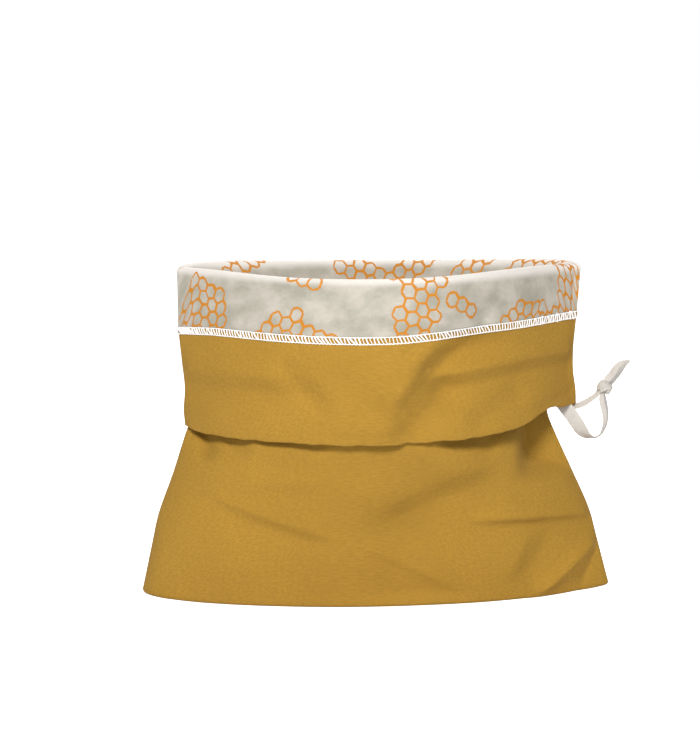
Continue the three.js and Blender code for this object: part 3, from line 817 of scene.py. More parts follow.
def ring_mesh(name, rings, uv):
    """A closed tube through rings of points."""
    rows, columns = rings.shape[:2]
    index = np.arange(rows * columns).reshape(rows, columns)
    beside = np.roll(index, -1, axis=1)
    sides = np.stack([index[:-1], beside[:-1], beside[1:], index[1:]], axis=-1).reshape(-1, 4)
    caps = [index[0][::-1].tolist(), index[-1].tolist()]
    mesh = mesh_with_uv(name, rings.reshape(-1, 3), sides.tolist() + caps, uv.reshape(-1, 2))
    reshape(mesh, turn_outwards)
    return mesh


# The knot's wraps, on a ball of radius 1 that is then drawn out to the knot's half sizes: how
# far each is turned in the picture and towards the front, in degrees, how far up its middle
# lies, half its width, and how far it stands out
KnotWrap = namedtuple("KnotWrap", "lean nod shift half_width rise")
KNOT_WRAPS = [
    KnotWrap(-50, 14, 0.50, 0.64, 0.26),
    KnotWrap(-24, -30, -0.24, 0.20, 0.36),
    KnotWrap(34, 24, -0.62, 0.26, 0.20),
    KnotWrap(96, 18, 0.84, 0.20, 0.34),
]

# On the same ball: how steep a wrap's edge is, its pleats and how far they stand out, the
# radius under the wraps, and the grid of rings, which keeps this far off the poles in radians
WRAP_EDGE = 0.08
WRAP_PLEATS = 7.0
PLEAT_RISE = 0.025
KNOT_CORE = 0.72
KNOT_ROWS = 72
KNOT_COLUMNS = 104
KNOT_POLE = 0.03


def wrap_axis(wrap):
    """The axis that a wrap goes round."""
    lean = math.radians(wrap.lean)
    nod = math.radians(wrap.nod)
    return np.array([math.sin(lean) * math.cos(nod), -math.sin(nod), math.cos(lean) * math.cos(nod)])


def knot_rings():
    """Rings of points of an overhand knot, whose wraps lie over each other with clear edges."""
    down = np.linspace(KNOT_POLE, math.pi - KNOT_POLE, KNOT_ROWS)[:, None]
    around = np.linspace(0, 2 * math.pi, KNOT_COLUMNS, endpoint=False)
    spread = (np.sin(down) * np.cos(around), np.sin(down) * np.sin(around), np.cos(down) + 0 * around)
    rings = np.stack(spread, axis=-1)
    height = np.zeros(rings.shape[:2])
    for wrap in KNOT_WRAPS:
        off = rings @ wrap_axis(wrap) - wrap.shift
        inside = np.clip((wrap.half_width - np.abs(off)) / WRAP_EDGE, 0, 1)
        pleats = PLEAT_RISE * np.cos(WRAP_PLEATS * off / wrap.half_width)
        height = np.maximum(height, inside * (wrap.rise + pleats))
    return rings * (KNOT_CORE + height)[..., None] * np.array(KNOT_HALF)


def knot_mesh(name):
    """The tape's knot, leaning at its place."""
    rings = knot_rings()
    c, s = math.cos(KNOT_LEAN), math.sin(KNOT_LEAN)
    leaned = rings @ np.array([[c, 0, s], [0, 1, 0], [-s, 0, c]]).T + np.array(KNOT_CENTRE)
    around = arc_lengths(rings, axis=1)
    along = arc_lengths(rings, axis=0)
    return ring_mesh(name, leaned, np.stack([around, along], axis=-1))


# Geometry of the overlocked seam

# How far the stitches stand off the cloth, and how far beside the seam its directions are taken
STITCH_LIFT = 0.0004
GUIDE_REACH = 0.002

# The edge threads' steps in one stitch, their wobble as a share of their thickness, and the
# sides of each thread and points of each bar
EDGE_STEPS = 4
EDGE_WOBBLE = 0.2
EDGE_SIDES = 8
BAR_SIDES = 6
BAR_POINTS = 6

# What differs from stitch to stitch, as its lowest and highest value and the salt of its draw,
# and how much wider the most crowded stitches are, as a share of an even one
UNEVEN_WIDTH = (0.55, 1.5, 0)
UNEVEN_HEIGHT = (0.86, 1.10, 1)
UNEVEN_LIFT = (0.7, 1.2, 2)
UNEVEN_LEAN = (-0.22, 0.22, 3)
CROWDED_WIDTH = 1.1

# How the stitches change along the front: how crowded they are, and how they lean in degrees
STITCH_CHANGES = Table("across crowding lean", [
    (-1.00, 1.0, 0),
    (-0.95, 0.8, 0),
    (-0.88, 0.2, 0),
    (-0.74, 0.0, 0),
    (0.36, 0.0, 0),
    (0.62, 0.0, -20),
    (0.80, 0.2, -44),
    (1.00, 0.5, -34),
])


def seam_guide(name):
    """A closed line round the cuff under the stitches, which also holds its outward and upward
    directions and how the stitches change."""
    rows = []
    for side in (FRONT, BACK):
        across = across_places(side)[:-1]
        middle, above, below = [
            cuff_points(side, across, -STITCH_LIFT, level(across), level(across))
            for level in (seam_level(side, off) for off in (0.0, GUIDE_REACH, -GUIDE_REACH))
        ]
        crowding = STITCH_CHANGES.read("crowding", across)
        lean = np.radians(STITCH_CHANGES.read("lean", across))
        rows.append((middle, above - below, crowding, lean))
    line = np.concatenate([row[0] for row in rows])
    upward = np.concatenate([row[1] for row in rows])
    upward /= np.linalg.norm(upward, axis=1)[:, None]
    along = np.roll(line, -1, axis=0) - np.roll(line, 1, axis=0)
    outward = np.cross(along, upward)
    outward /= np.linalg.norm(outward, axis=1)[:, None]
    count = len(line)
    mesh = bpy.data.meshes.new(name)
    mesh.from_pydata(line.tolist(), [(i, (i + 1) % count) for i in range(count)], [])
    for attribute_name, values in (("outward", outward), ("upward", upward)):
        attribute = mesh.attributes.new(attribute_name, "FLOAT_VECTOR", "POINT")
        attribute.data.foreach_set("vector", values.astype(np.float32).ravel())
    for attribute_name, column in (("crowding", 2), ("lean", 3)):
        attribute = mesh.attributes.new(attribute_name, "FLOAT", "POINT")
        values = np.concatenate([row[column] for row in rows])
        attribute.data.foreach_set("value", values.astype(np.float32))
    return mesh


# Steps of node trees

# Types of a node group's sockets, of which a number's follows from its default
GEOMETRY = "NodeSocketGeometry"
MATERIAL = "NodeSocketMaterial"
VECTOR = "NodeSocketVector"
NUMBER = "NodeSocketFloat"
NUMBER_TYPES = {float: NUMBER, int: "NodeSocketInt"}


def set_inputs(tree, node, inputs):
    """Links a node's inputs to sockets, or sets them to values."""
    for key, value in inputs.items():
        if isinstance(value, bpy.types.NodeSocket):
            tree.links.new(value, node.inputs[key])
        else:
            node.inputs[key].default_value = value


def add_node(tree, kind, inputs=None, **settings):
    """A node with its settings and its inputs."""
    node = tree.nodes.new(kind)
    for name, value in settings.items():
        setattr(node, name, value)
    set_inputs(tree, node, inputs or {})
    return node


def calc(tree, operation, *values, clamp=False):
    """One step of arithmetic on sockets or numbers."""
    node = add_node(tree, "ShaderNodeMath", dict(enumerate(values)), operation=operation, use_clamp=clamp)
    return node.outputs[0]


def vector_calc(tree, operation, *values):
    """One step of arithmetic on vectors."""
    node = add_node(tree, "ShaderNodeVectorMath", dict(enumerate(values)), operation=operation)
    gives_number = operation in {"LENGTH", "DOT_PRODUCT", "DISTANCE"}
    return node.outputs["Value" if gives_number else "Vector"]


def scaled(tree, vector, scale):
    """A vector times a number."""
    node = add_node(tree, "ShaderNodeVectorMath", {"Vector": vector, "Scale": scale}, operation="SCALE")
    return node.outputs["Vector"]


def in_units(tree, vector, unit):
    """A vector measured in units of a length."""
    return scaled(tree, vector, calc(tree, "DIVIDE", 1.0, unit))


def combined(tree, **parts):
    """A vector from its parts X, Y and Z."""
    return add_node(tree, "ShaderNodeCombineXYZ", parts).outputs[0]


def parted(tree, vector):
    """A vector's parts X, Y and Z."""
    return add_node(tree, "ShaderNodeSeparateXYZ", {0: vector}).outputs


def new_group(kind, name, inputs, outputs):
    """An empty node group, with the sockets that enter it and those that leave it. An input is
    named with its default, if it is a number, or else with its type, and an output with its type."""
    tree = bpy.data.node_groups.new(name, kind)
    for socket_name, given in inputs.items():
        socket_type = NUMBER_TYPES.get(type(given), given)
        socket = tree.interface.new_socket(name=socket_name, in_out="INPUT", socket_type=socket_type)
        if type(given) in NUMBER_TYPES:
            socket.default_value = given
    for socket_name, socket_type in outputs.items():
        tree.interface.new_socket(name=socket_name, in_out="OUTPUT", socket_type=socket_type)
    entry = tree.nodes.new("NodeGroupInput")
    result = tree.nodes.new("NodeGroupOutput")
    return tree, entry.outputs, result.inputs


def placed(tree, group, inputs):
    """A node group placed in a tree with its own values, which gives its outputs."""
    return add_node(tree, "ShaderNodeGroup", inputs, node_tree=group).outputs


# The node tree that sews the overlocked seam


def stored(tree, name, kind="FLOAT_VECTOR"):
    """A vector or number stored on the geometry's points."""
    node = add_node(tree, "GeometryNodeInputNamedAttribute", {"Name": name}, data_type=kind)
    return node.outputs["Attribute"]


def round_thread(tree, curve, thickness, sides):
    """Thread of a thickness swept along a curve."""
    radius = calc(tree, "MULTIPLY", thickness, 0.5)
    ring = add_node(
        tree, "GeometryNodeCurvePrimitiveCircle", {"Resolution": sides, "Radius": radius}, mode="RADIUS",
    )
    inputs = {"Curve": curve, "Profile Curve": ring.outputs["Curve"], "Fill Caps": True}
    return add_node(tree, "GeometryNodeCurveToMesh", inputs).outputs["Mesh"]


def resampled(tree, curve, mode, amount):
    """A curve cut anew into steps of a length, or into a count of points."""
    inputs = {"Curve": curve, mode.title(): amount}
    return add_node(tree, "GeometryNodeResampleCurve", inputs, mode=mode).outputs["Curve"]


def moved_by(tree, curve, offset):
    """A curve whose points are moved by an offset."""
    inputs = {"Geometry": curve, "Offset": offset}
    return add_node(tree, "GeometryNodeSetPosition", inputs).outputs["Geometry"]


def edge_thread(tree, guide, pitch, share, height, thickness):
    """One of the seam's two looped edges, a share of the height above its middle."""
    line = resampled(tree, guide, "LENGTH", calc(tree, "MULTIPLY", pitch, 1 / EDGE_STEPS))
    walked = add_node(tree, "GeometryNodeSplineParameter").outputs["Length"]
    turn = calc(tree, "MULTIPLY", calc(tree, "DIVIDE", walked, pitch), 2 * math.pi)
    wobble = calc(tree, "MULTIPLY", thickness, EDGE_WOBBLE)
    wave = calc(tree, "MULTIPLY", calc(tree, "SINE", turn), wobble)
    rise = calc(tree, "ADD", calc(tree, "MULTIPLY", height, share), wave)
    lift = calc(tree, "MULTIPLY", calc(tree, "COSINE", turn), wobble)
    offset = vector_calc(
        tree, "ADD",
        scaled(tree, stored(tree, "upward"), rise),
        scaled(tree, stored(tree, "outward"), lift),
    )
    return round_thread(tree, moved_by(tree, line, offset), thickness, EDGE_SIDES)


def stitch_bar(tree, height, slant, thickness):
    """One slanted stitch that bulges away from the cloth, in its own frame."""
    half_height = calc(tree, "MULTIPLY", height, 0.5)
    half_slant = calc(tree, "MULTIPLY", slant, 0.5)
    low = combined(tree, X=half_slant, Y=calc(tree, "MULTIPLY", half_height, -1.0))
    high = combined(tree, X=calc(tree, "MULTIPLY", half_slant, -1.0), Y=half_height)
    line = add_node(tree, "GeometryNodeCurvePrimitiveLine", {"Start": low, "End": high}, mode="POINTS")
    fine = resampled(tree, line.outputs["Curve"], "COUNT", BAR_POINTS)
    share = add_node(tree, "GeometryNodeSplineParameter").outputs["Factor"]
    arch = calc(tree, "SINE", calc(tree, "MULTIPLY", share, math.pi))
    bulge = combined(tree, Z=calc(tree, "MULTIPLY", arch, STITCH_LIFT))
    return round_thread(tree, moved_by(tree, fine, bulge), thickness, BAR_SIDES)


def uneven(tree, seed, low, high, salt):
    """A number between low and high that differs from stitch to stitch."""
    inputs = {2: low, 3: high, "Seed": calc(tree, "ADD", seed, salt)}
    return add_node(tree, "FunctionNodeRandomValue", inputs, data_type="FLOAT").outputs[1]


def stitch_turn(tree, seed):
    """How a stitch is turned: away from the cloth, along the seam, and leaning unevenly."""
    tangent = add_node(tree, "GeometryNodeInputTangent").outputs["Tangent"]
    facing = add_node(
        tree, "FunctionNodeAxesToRotation", {0: stored(tree, "outward"), 1: tangent},
        primary_axis="Z", secondary_axis="X",
    )
    lean = calc(tree, "ADD", stored(tree, "lean", "FLOAT"), uneven(tree, seed, *UNEVEN_LEAN))
    leaning = add_node(tree, "FunctionNodeAxisAngleToRotation", {"Axis": (0, 0, 1), "Angle": lean})
    inputs = {"Rotation": facing.outputs[0], "Rotate By": leaning.outputs[0]}
    return add_node(tree, "FunctionNodeRotateRotation", inputs, rotation_space="LOCAL").outputs[0]


def stitch_size(tree, seed):
    """How far a stitch is drawn out along the seam, up it and away from the cloth."""
    wider = calc(tree, "MULTIPLY_ADD", stored(tree, "crowding", "FLOAT"), CROWDED_WIDTH, 1.0)
    return combined(
        tree,
        X=calc(tree, "MULTIPLY", wider, uneven(tree, seed, *UNEVEN_WIDTH)),
        Y=uneven(tree, seed, *UNEVEN_HEIGHT),
        Z=uneven(tree, seed, *UNEVEN_LIFT),
    )


def overlock_tree():
    """Geometry Nodes that sew an overlocked seam along a guide line."""
    tree, given, result = new_group("GeometryNodeTree", "overlock_seam", {
        "Guide": GEOMETRY,
        "Pitch": 0.0027,
        "Height": 0.0058,
        "Bar Thickness": 0.0011,
        "Edge Thickness": 0.0009,
        "Slant": 0.0022,
        "Seed": 5,
        "Thread": MATERIAL,
    }, {"Seam": GEOMETRY})
    guide = add_node(tree, "GeometryNodeMeshToCurve", {"Mesh": given["Guide"]}).outputs["Curve"]
    height = calc(tree, "SUBTRACT", given["Height"], given["Edge Thickness"])
    bars = add_node(tree, "GeometryNodeInstanceOnPoints", {
        "Points": resampled(tree, guide, "LENGTH", given["Pitch"]),
        "Instance": stitch_bar(tree, height, given["Slant"], given["Bar Thickness"]),
        "Rotation": stitch_turn(tree, given["Seed"]),
        "Scale": stitch_size(tree, given["Seed"]),
    })
    edges = [
        edge_thread(tree, guide, given["Pitch"], share, height, given["Edge Thickness"])
        for share in (0.5, -0.5)
    ]
    joined = tree.nodes.new("GeometryNodeJoinGeometry")
    for part in (bars.outputs["Instances"], *edges):
        tree.links.new(part, joined.inputs[0])
    smooth = add_node(tree, "GeometryNodeSetShadeSmooth", {"Geometry": joined.outputs[0]})
    real = add_node(tree, "GeometryNodeRealizeInstances", {"Geometry": smooth.outputs[0]})
    inputs = {"Geometry": real.outputs[0], "Material": given["Thread"]}
    painted = add_node(tree, "GeometryNodeSetMaterial", inputs)
    tree.links.new(painted.outputs[0], result["Seam"])
    return tree


def sewn_mesh(guide, tree, values):
    """The plain mesh that a node tree makes from a guide, with the tree's inputs set by name."""
    holder = new_object("sewing", guide)
    modifier = holder.modifiers.new("sewing", "NODES")
    modifier.node_group = tree
    for item in tree.interface.items_tree:
        if item.item_type == "SOCKET" and item.in_out == "INPUT" and item.name in values:
            modifier[item.identifier] = values[item.name]
    depsgraph = bpy.context.evaluated_depsgraph_get()
    mesh = bpy.data.meshes.new_from_object(holder.evaluated_get(depsgraph), depsgraph=depsgraph)
    holder.modifiers.clear()
    bpy.data.objects.remove(holder)
    bpy.data.meshes.remove(guide)
    return mesh


# Surface effects, with the measures of the materials

# Where in the noise the print's chains and patches are taken from, which settles its layout
CHAIN_LAYOUT = (2.7, 16.1, 0.0)
PATCH_LAYOUT = (36.7, 32.0, 0.0)

# Heights between which the lining turns to the rim colour towards the top fold: a painted highlight, lighter
# where the fold catches the light from above
RIM_HIGHLIGHT_FROM = 0.2445
RIM_HIGHLIGHT_TO = 0.2515

# How the print is drawn, in steps of a cell's width: how it is turned on the cloth, how far and
# how often its cells drift out of line, and how sharp a line's edge is
PRINT_TURN = math.radians(97)
DRIFT = 0.34
DRIFT_SCALE = 0.85
LINE_SHARPNESS = 40.0

# How thick the hand draws a line, as shares of its width, and how often that changes
HAND_THICKNESS = (0.4, 1.8)
HAND_SCALE = 0.6

# How the cells stand together: how the clusters are drawn out along and across, how often
# chains wind, how far off a chain's line its cells lie and how ragged that limit is, and the
# noise from which on cells are printed at all
CLUSTER_STRETCH = (1.5, 0.8)
CHAIN_WINDING = 1.3
CHAIN_HALF = 0.105
CHAIN_RAGGEDNESS = 0.03
PRINTED_FROM = 0.45

# A honeycomb's measures in steps of a cell's width: the box that repeats, the middle of a box,
# and the way from a cell to the one that lies askew above it
HEX_ROOT = math.sqrt(3)
HEX_BOX = (1.0, HEX_ROOT, 1.0)
HEX_SLANT = (0.5, HEX_ROOT / 2, 0.0)
HALF_STEP = (0.5, 0.5, 0.0)

# A plain weave: how far a thread dips under the next, and slubs a metre across and along it
THREAD_DIP = 0.4
SLUBS_ACROSS = 900.0
SLUBS_ALONG = 60.0

# How strongly flecks and slubs stand out, and the unevenness from which on a slub shows
FLECK_CONTRAST = 3.4
SLUB_CONTRAST = 3.0
SLUB_FROM = 0.4

# Distances from the middle between which the outer cotton's level streaks turn to slanted flecks
STREAKS_TO = 0.022
FLECKS_FROM = 0.060

# Both kinds of fleck: thickness over the setting, slant, and thickness over length
LEVEL_STREAKS = (1.0, math.radians(90), 0.14)
SLANTED_FLECKS = (1.3, math.radians(-52), 0.30)

# Soft patches in the materials, as their size and contrast
OUTER_FADE = (0.05, 1.6)
OUTER_GRAIN = (0.0016, 2.2)
LINING_WAX = (0.022, 3.4)
LINING_GRAIN = (0.0024, 2.6)
TAPE_SOIL = (0.012, 1.8)

# The two shades of a colour between which its patches turn
FADED_SHADES = (0.86, 1.06)
THREAD_SHADES = (0.90, 1.04)
SOILED_SHADES = (1.06, 0.88)
FLOOR_SHADES = (0.99, 1.01)

# What darkens the outer cotton, the lining and the tape: how much of a mark shows, in what shade
COTTON_MARKS = {
    "grain": (0.30, 0.60),
    "slub": (0.50, 0.75),
    "fleck": (0.50, 0.60),
    "gap": (0.80, 0.42),
}
LINING_MARK = (0.16, 0.70)
RIB_MARK = (0.14, 0.60)

# How much of the print's ink is missing where the lining's grain is strongest
INK_WEAR = 0.12

# How fine the thread's fuzz and the floor's tooth are
FUZZ_SCALE = 2200.0
TOOTH_SCALE = 40.0

# How far the floor is lifted to white where the camera sees it
FLOOR_GLOW = 0.86


def noise_value(tree, vector, scale, detail=2.0, roughness=0.5):
    """Smooth noise from 0 to 1."""
    inputs = {"Vector": vector, "Scale": scale, "Detail": detail, "Roughness": roughness}
    return add_node(tree, "ShaderNodeTexNoise", inputs).outputs["Fac"]


def contrasted(tree, value, contrast):
    """Noise spread out from its middle and cut off at 0 and 1."""
    return calc(tree, "MULTIPLY_ADD", calc(tree, "SUBTRACT", value, 0.5), contrast, 0.5, clamp=True)


def ranged(tree, share, start, end):
    """A value that runs from start to end with a share."""
    return calc(tree, "MULTIPLY_ADD", share, end - start, start)


def smooth_step(tree, value, low, high):
    """A share that rises smoothly from 0 to 1 between two values."""
    inputs = {"Value": value, "From Min": low, "From Max": high}
    node = add_node(tree, "ShaderNodeMapRange", inputs, interpolation_type="SMOOTHSTEP")
    return node.outputs["Result"]


def stretched(tree, vector, x, y):
    """A vector scaled differently along and across."""
    return vector_calc(tree, "MULTIPLY", vector, (x, y, 1.0))


def chosen(tree, share, other, one):
    """One vector where the share is 1, and the other where it is 0."""
    node = add_node(tree, "ShaderNodeMix", {0: share, 4: other, 5: one}, data_type="VECTOR")
    return node.outputs[1]


def round_threads(tree, place):
    """Height of round threads that lie side by side, one to each step of the place."""
    return calc(tree, "ABSOLUTE", calc(tree, "SINE", calc(tree, "MULTIPLY", place, math.pi)))


def plain_weave_group():
    """Threads over and under each other: their height, how dark the gaps between them are, and
    where the yarn is uneven."""
    tree, given, result = new_group(
        "ShaderNodeTree", "plain_weave", {"Vector": VECTOR, "Thread": 0.0005},
        {"Height": NUMBER, "Gap": NUMBER, "Slub": NUMBER},
    )
    threads = parted(tree, in_units(tree, given["Vector"], given["Thread"]))
    u, v = threads["X"], threads["Y"]
    cells = calc(tree, "ADD", calc(tree, "FLOOR", u), calc(tree, "FLOOR", v))
    over = calc(tree, "FLOORED_MODULO", cells, 2.0)
    warp = calc(tree, "MULTIPLY", round_threads(tree, u), ranged(tree, over, 1 - THREAD_DIP, 1.0))
    weft = calc(tree, "MULTIPLY", round_threads(tree, v), ranged(tree, over, 1.0, 1 - THREAD_DIP))
    height = calc(tree, "MAXIMUM", warp, weft)
    warp_slub = noise_value(tree, stretched(tree, given["Vector"], SLUBS_ACROSS, SLUBS_ALONG), 1.0)
    weft_slub = noise_value(tree, stretched(tree, given["Vector"], SLUBS_ALONG, SLUBS_ACROSS), 1.0)
    slub = calc(tree, "MULTIPLY", calc(tree, "ADD", warp_slub, weft_slub), 0.5)
    tree.links.new(height, result["Height"])
    tree.links.new(calc(tree, "SUBTRACT", 1.0, height, clamp=True), result["Gap"])
    tree.links.new(slub, result["Slub"])
    return tree


def cell_cluster_group():
    """Whether the cell with its middle at a place belongs to one of the print's chains of cells."""
    tree, given, result = new_group(
        "ShaderNodeTree", "cell_cluster", {"Cell": VECTOR, "Spacing": 7.0}, {"Inside": NUMBER},
    )
    whole = vector_calc(tree, "MULTIPLY", given["Cell"], (2.0, 2.0 / HEX_ROOT, 0.0))
    whole = vector_calc(tree, "FLOOR", vector_calc(tree, "ADD", whole, HALF_STEP))
    even = vector_calc(tree, "MULTIPLY", whole, HEX_SLANT)
    spread = stretched(tree, in_units(tree, even, given["Spacing"]), *CLUSTER_STRETCH)
    chains = vector_calc(tree, "ADD", spread, CHAIN_LAYOUT)
    winding = noise_value(tree, chains, CHAIN_WINDING, detail=0.0)
    off_line = calc(tree, "ABSOLUTE", calc(tree, "SUBTRACT", winding, 0.5))
    patches = noise_value(tree, vector_calc(tree, "ADD", spread, PATCH_LAYOUT), 1.0, detail=0.0)
    chance = add_node(tree, "ShaderNodeTexWhiteNoise", {"Vector": whole}, noise_dimensions="2D")
    ragged = calc(tree, "MULTIPLY_ADD", chance.outputs["Value"], CHAIN_RAGGEDNESS, off_line)
    on_line = calc(tree, "LESS_THAN", ragged, CHAIN_HALF)
    in_patch = calc(tree, "GREATER_THAN", patches, PRINTED_FROM)
    tree.links.new(calc(tree, "MULTIPLY", on_line, in_patch), result["Inside"])
    return tree


def drawn_by_hand(tree, cells):
    """Places among the cells, turned on the cloth and drawn a little out of line."""
    turned = add_node(tree, "ShaderNodeMapping", {"Vector": cells, "Rotation": (0, 0, PRINT_TURN)})
    laid = turned.outputs[0]
    drift = add_node(tree, "ShaderNodeTexNoise", {"Vector": laid, "Scale": DRIFT_SCALE, "Detail": 1.0})
    off = vector_calc(tree, "SUBTRACT", drift.outputs["Color"], (0.5, 0.5, 0.5))
    place = vector_calc(tree, "ADD", laid, scaled(tree, off, DRIFT))
    return vector_calc(tree, "MULTIPLY", place, (1.0, 1.0, 0.0))


def off_box_middle(tree, boxes):
    """How far a place, counted in boxes, lies from the middle of its box."""
    off = vector_calc(tree, "SUBTRACT", vector_calc(tree, "FRACTION", boxes), HALF_STEP)
    return vector_calc(tree, "MULTIPLY", off, HEX_BOX)


def off_cell_middle(tree, place):
    """How far a place lies from the middle of the hexagonal cell that it is in."""
    boxes = vector_calc(tree, "DIVIDE", place, HEX_BOX)
    one = off_box_middle(tree, boxes)
    two = off_box_middle(tree, vector_calc(tree, "SUBTRACT", boxes, HALF_STEP))
    nearer = calc(tree, "LESS_THAN", vector_calc(tree, "LENGTH", one), vector_calc(tree, "LENGTH", two))
    return chosen(tree, nearer, two, one)


def honeycomb_print_group(cluster):
    """Hand-drawn outlines of hexagonal cells that stand in clusters."""
    tree, given, result = new_group("ShaderNodeTree", "honeycomb_print", {
        "Vector": VECTOR,
        "Cell Width": 0.0100,
        "Line Width": 0.0017,
        "Cluster Spacing": 0.084,
    }, {"Ink": NUMBER})
    cells = in_units(tree, given["Vector"], given["Cell Width"])
    place = drawn_by_hand(tree, cells)
    inside = off_cell_middle(tree, place)
    reach = vector_calc(tree, "ABSOLUTE", inside)
    straight = parted(tree, reach)["X"]
    slanted = vector_calc(tree, "DOT_PRODUCT", reach, HEX_SLANT)
    to_edge = calc(tree, "SUBTRACT", 0.5, calc(tree, "MAXIMUM", straight, slanted))
    signs = vector_calc(tree, "SIGN", inside)
    beside = vector_calc(tree, "MULTIPLY", signs, (1.0, 0.0, 0.0))
    askew = vector_calc(tree, "MULTIPLY", signs, HEX_SLANT)
    towards = chosen(tree, calc(tree, "GREATER_THAN", straight, slanted), askew, beside)
    centre = vector_calc(tree, "SUBTRACT", place, inside)
    spacing = calc(tree, "DIVIDE", given["Cluster Spacing"], given["Cell Width"])
    printed = calc(tree, "MAXIMUM", *[
        placed(tree, cluster, {"Cell": cell, "Spacing": spacing})["Inside"]
        for cell in (centre, vector_calc(tree, "ADD", centre, towards))
    ])
    hand = ranged(tree, noise_value(tree, cells, HAND_SCALE), *HAND_THICKNESS)
    half_line = calc(tree, "DIVIDE", calc(tree, "MULTIPLY", given["Line Width"], 0.5), given["Cell Width"])
    over = calc(tree, "SUBTRACT", calc(tree, "MULTIPLY", half_line, hand), to_edge)
    line = calc(tree, "MULTIPLY_ADD", over, LINE_SHARPNESS, 0.5, clamp=True)
    tree.links.new(calc(tree, "MULTIPLY", line, printed), result["Ink"])
    return tree


def mottle_group():
    """Soft uneven patches, such as wax or dye leaves in cloth."""
    tree, given, result = new_group(
        "ShaderNodeTree", "mottle", {"Vector": VECTOR, "Patch": 0.03, "Contrast": 2.0},
        {"Patches": NUMBER},
    )
    scale = calc(tree, "DIVIDE", 1.0, given["Patch"])
    value = noise_value(tree, given["Vector"], scale, detail=4.0, roughness=0.55)
    tree.links.new(contrasted(tree, value, given["Contrast"]), result["Patches"])
    return tree


def fleck_group():
    """Short slanted flecks, such as uneven yarn leaves in a plain weave."""
    tree, given, result = new_group("ShaderNodeTree", "flecks", {
        "Vector": VECTOR,
        "Thickness": 0.0009,
        "Slant": 0.9,
        "Length Share": 0.3,
    }, {"Flecks": NUMBER})
    inputs = {"Vector": given["Vector"], "Angle": given["Slant"]}
    turned = add_node(tree, "ShaderNodeVectorRotate", inputs, rotation_type="Z_AXIS").outputs[0]
    squeeze = combined(tree, X=1.0, Y=given["Length Share"])
    place = vector_calc(tree, "MULTIPLY", in_units(tree, turned, given["Thickness"]), squeeze)
    value = noise_value(tree, place, 1.0, detail=1.0)
    tree.links.new(contrasted(tree, value, FLECK_CONTRAST), result["Flecks"])
    return tree


def shared_group(name, maker, *parts):
    """A node group by name, made the first time that it is asked for."""
    return bpy.data.node_groups.get(name) or maker(*parts)


def woven(tree, vector, thread):
    """A plain weave's outputs, with its threads this far apart."""
    weave = shared_group("plain_weave", plain_weave_group)
    return placed(tree, weave, {"Vector": vector, "Thread": thread})


def mottled(tree, vector, patch, contrast):
    """Soft uneven patches of a size."""
    mottle = shared_group("mottle", mottle_group)
    return placed(tree, mottle, {"Vector": vector, "Patch": patch, "Contrast": contrast})["Patches"]


def flecked(tree, vector, thickness, slant, length_share):
    """Short flecks of a thickness and slant."""
    return placed(tree, shared_group("flecks", fleck_group), {
        "Vector": vector, "Thickness": thickness, "Slant": slant, "Length Share": length_share,
    })["Flecks"]


def new_material(name):
    """A material with an empty tree but for its shader."""
    material = bpy.data.materials.new(name)
    material.use_nodes = True
    return material, material.node_tree, material.node_tree.nodes["Principled BSDF"]


def mixed_colour(tree, share, one, two):
    """One colour over another, as far as the share says."""
    node = add_node(tree, "ShaderNodeMix", {0: share, 6: one, 7: two}, data_type="RGBA")
    return node.outputs[2]


def with_alpha(colour, scale=1.0):
    """A settings colour as a shader colour, lighter or darker by a factor."""
    return (*[min(part * scale, 1.0) for part in colour], 1.0)


def shaded(tree, share, dye, one, two):
    """A dye that turns from one shade to another with a share."""
    return mixed_colour(tree, share, with_alpha(dye, one), with_alpha(dye, two))


def marked(tree, colour, mark, dye, share, shade):
    """A colour over which a share of a mark shows in a shade of a dye."""
    return mixed_colour(tree, calc(tree, "MULTIPLY", mark, share), colour, with_alpha(dye, shade))


def raised(tree, height, by):
    """The normal of a surface that is raised by this distance where its height is 1."""
    return add_node(tree, "ShaderNodeBump", {"Height": height, "Distance": by}).outputs["Normal"]


def cloth_coordinates(tree):
    """The piece's own flat layout, in metres."""
    return add_node(tree, "ShaderNodeUVMap", uv_map="cloth").outputs["UV"]


def solid_coordinates(tree):
    """Places in the piece's own space, in metres."""
    return add_node(tree, "ShaderNodeTexCoord").outputs["Object"]


def for_camera(tree, seen, otherwise):
    """One shader where the camera sees it, and another one for all other light."""
    rays = add_node(tree, "ShaderNodeLightPath")
    inputs = {0: rays.outputs["Is Camera Ray"], 1: otherwise.outputs[0], 2: seen.outputs[0]}
    return add_node(tree, "ShaderNodeMixShader", inputs).outputs[0]


# Materials


def cotton_flecks(tree, place, thickness):
    """Level streaks in the middle of a panel, which turn to slanted flecks towards its sides."""
    parts = parted(tree, place)
    off_middle = calc(tree, "ABSOLUTE", calc(tree, "SUBTRACT", parts["X"], PANEL_WIDTH / 2))
    mirrored = combined(tree, X=off_middle, Y=parts["Y"])
    level, slanted = [
        flecked(tree, vector, thickness * wider, slant, length_share)
        for vector, (wider, slant, length_share) in ((place, LEVEL_STREAKS), (mirrored, SLANTED_FLECKS))
    ]
    at_side = smooth_step(tree, off_middle, STREAKS_TO, FLECKS_FROM)
    return add_node(tree, "ShaderNodeMix", {0: at_side, 2: level, 3: slanted}).outputs[0]


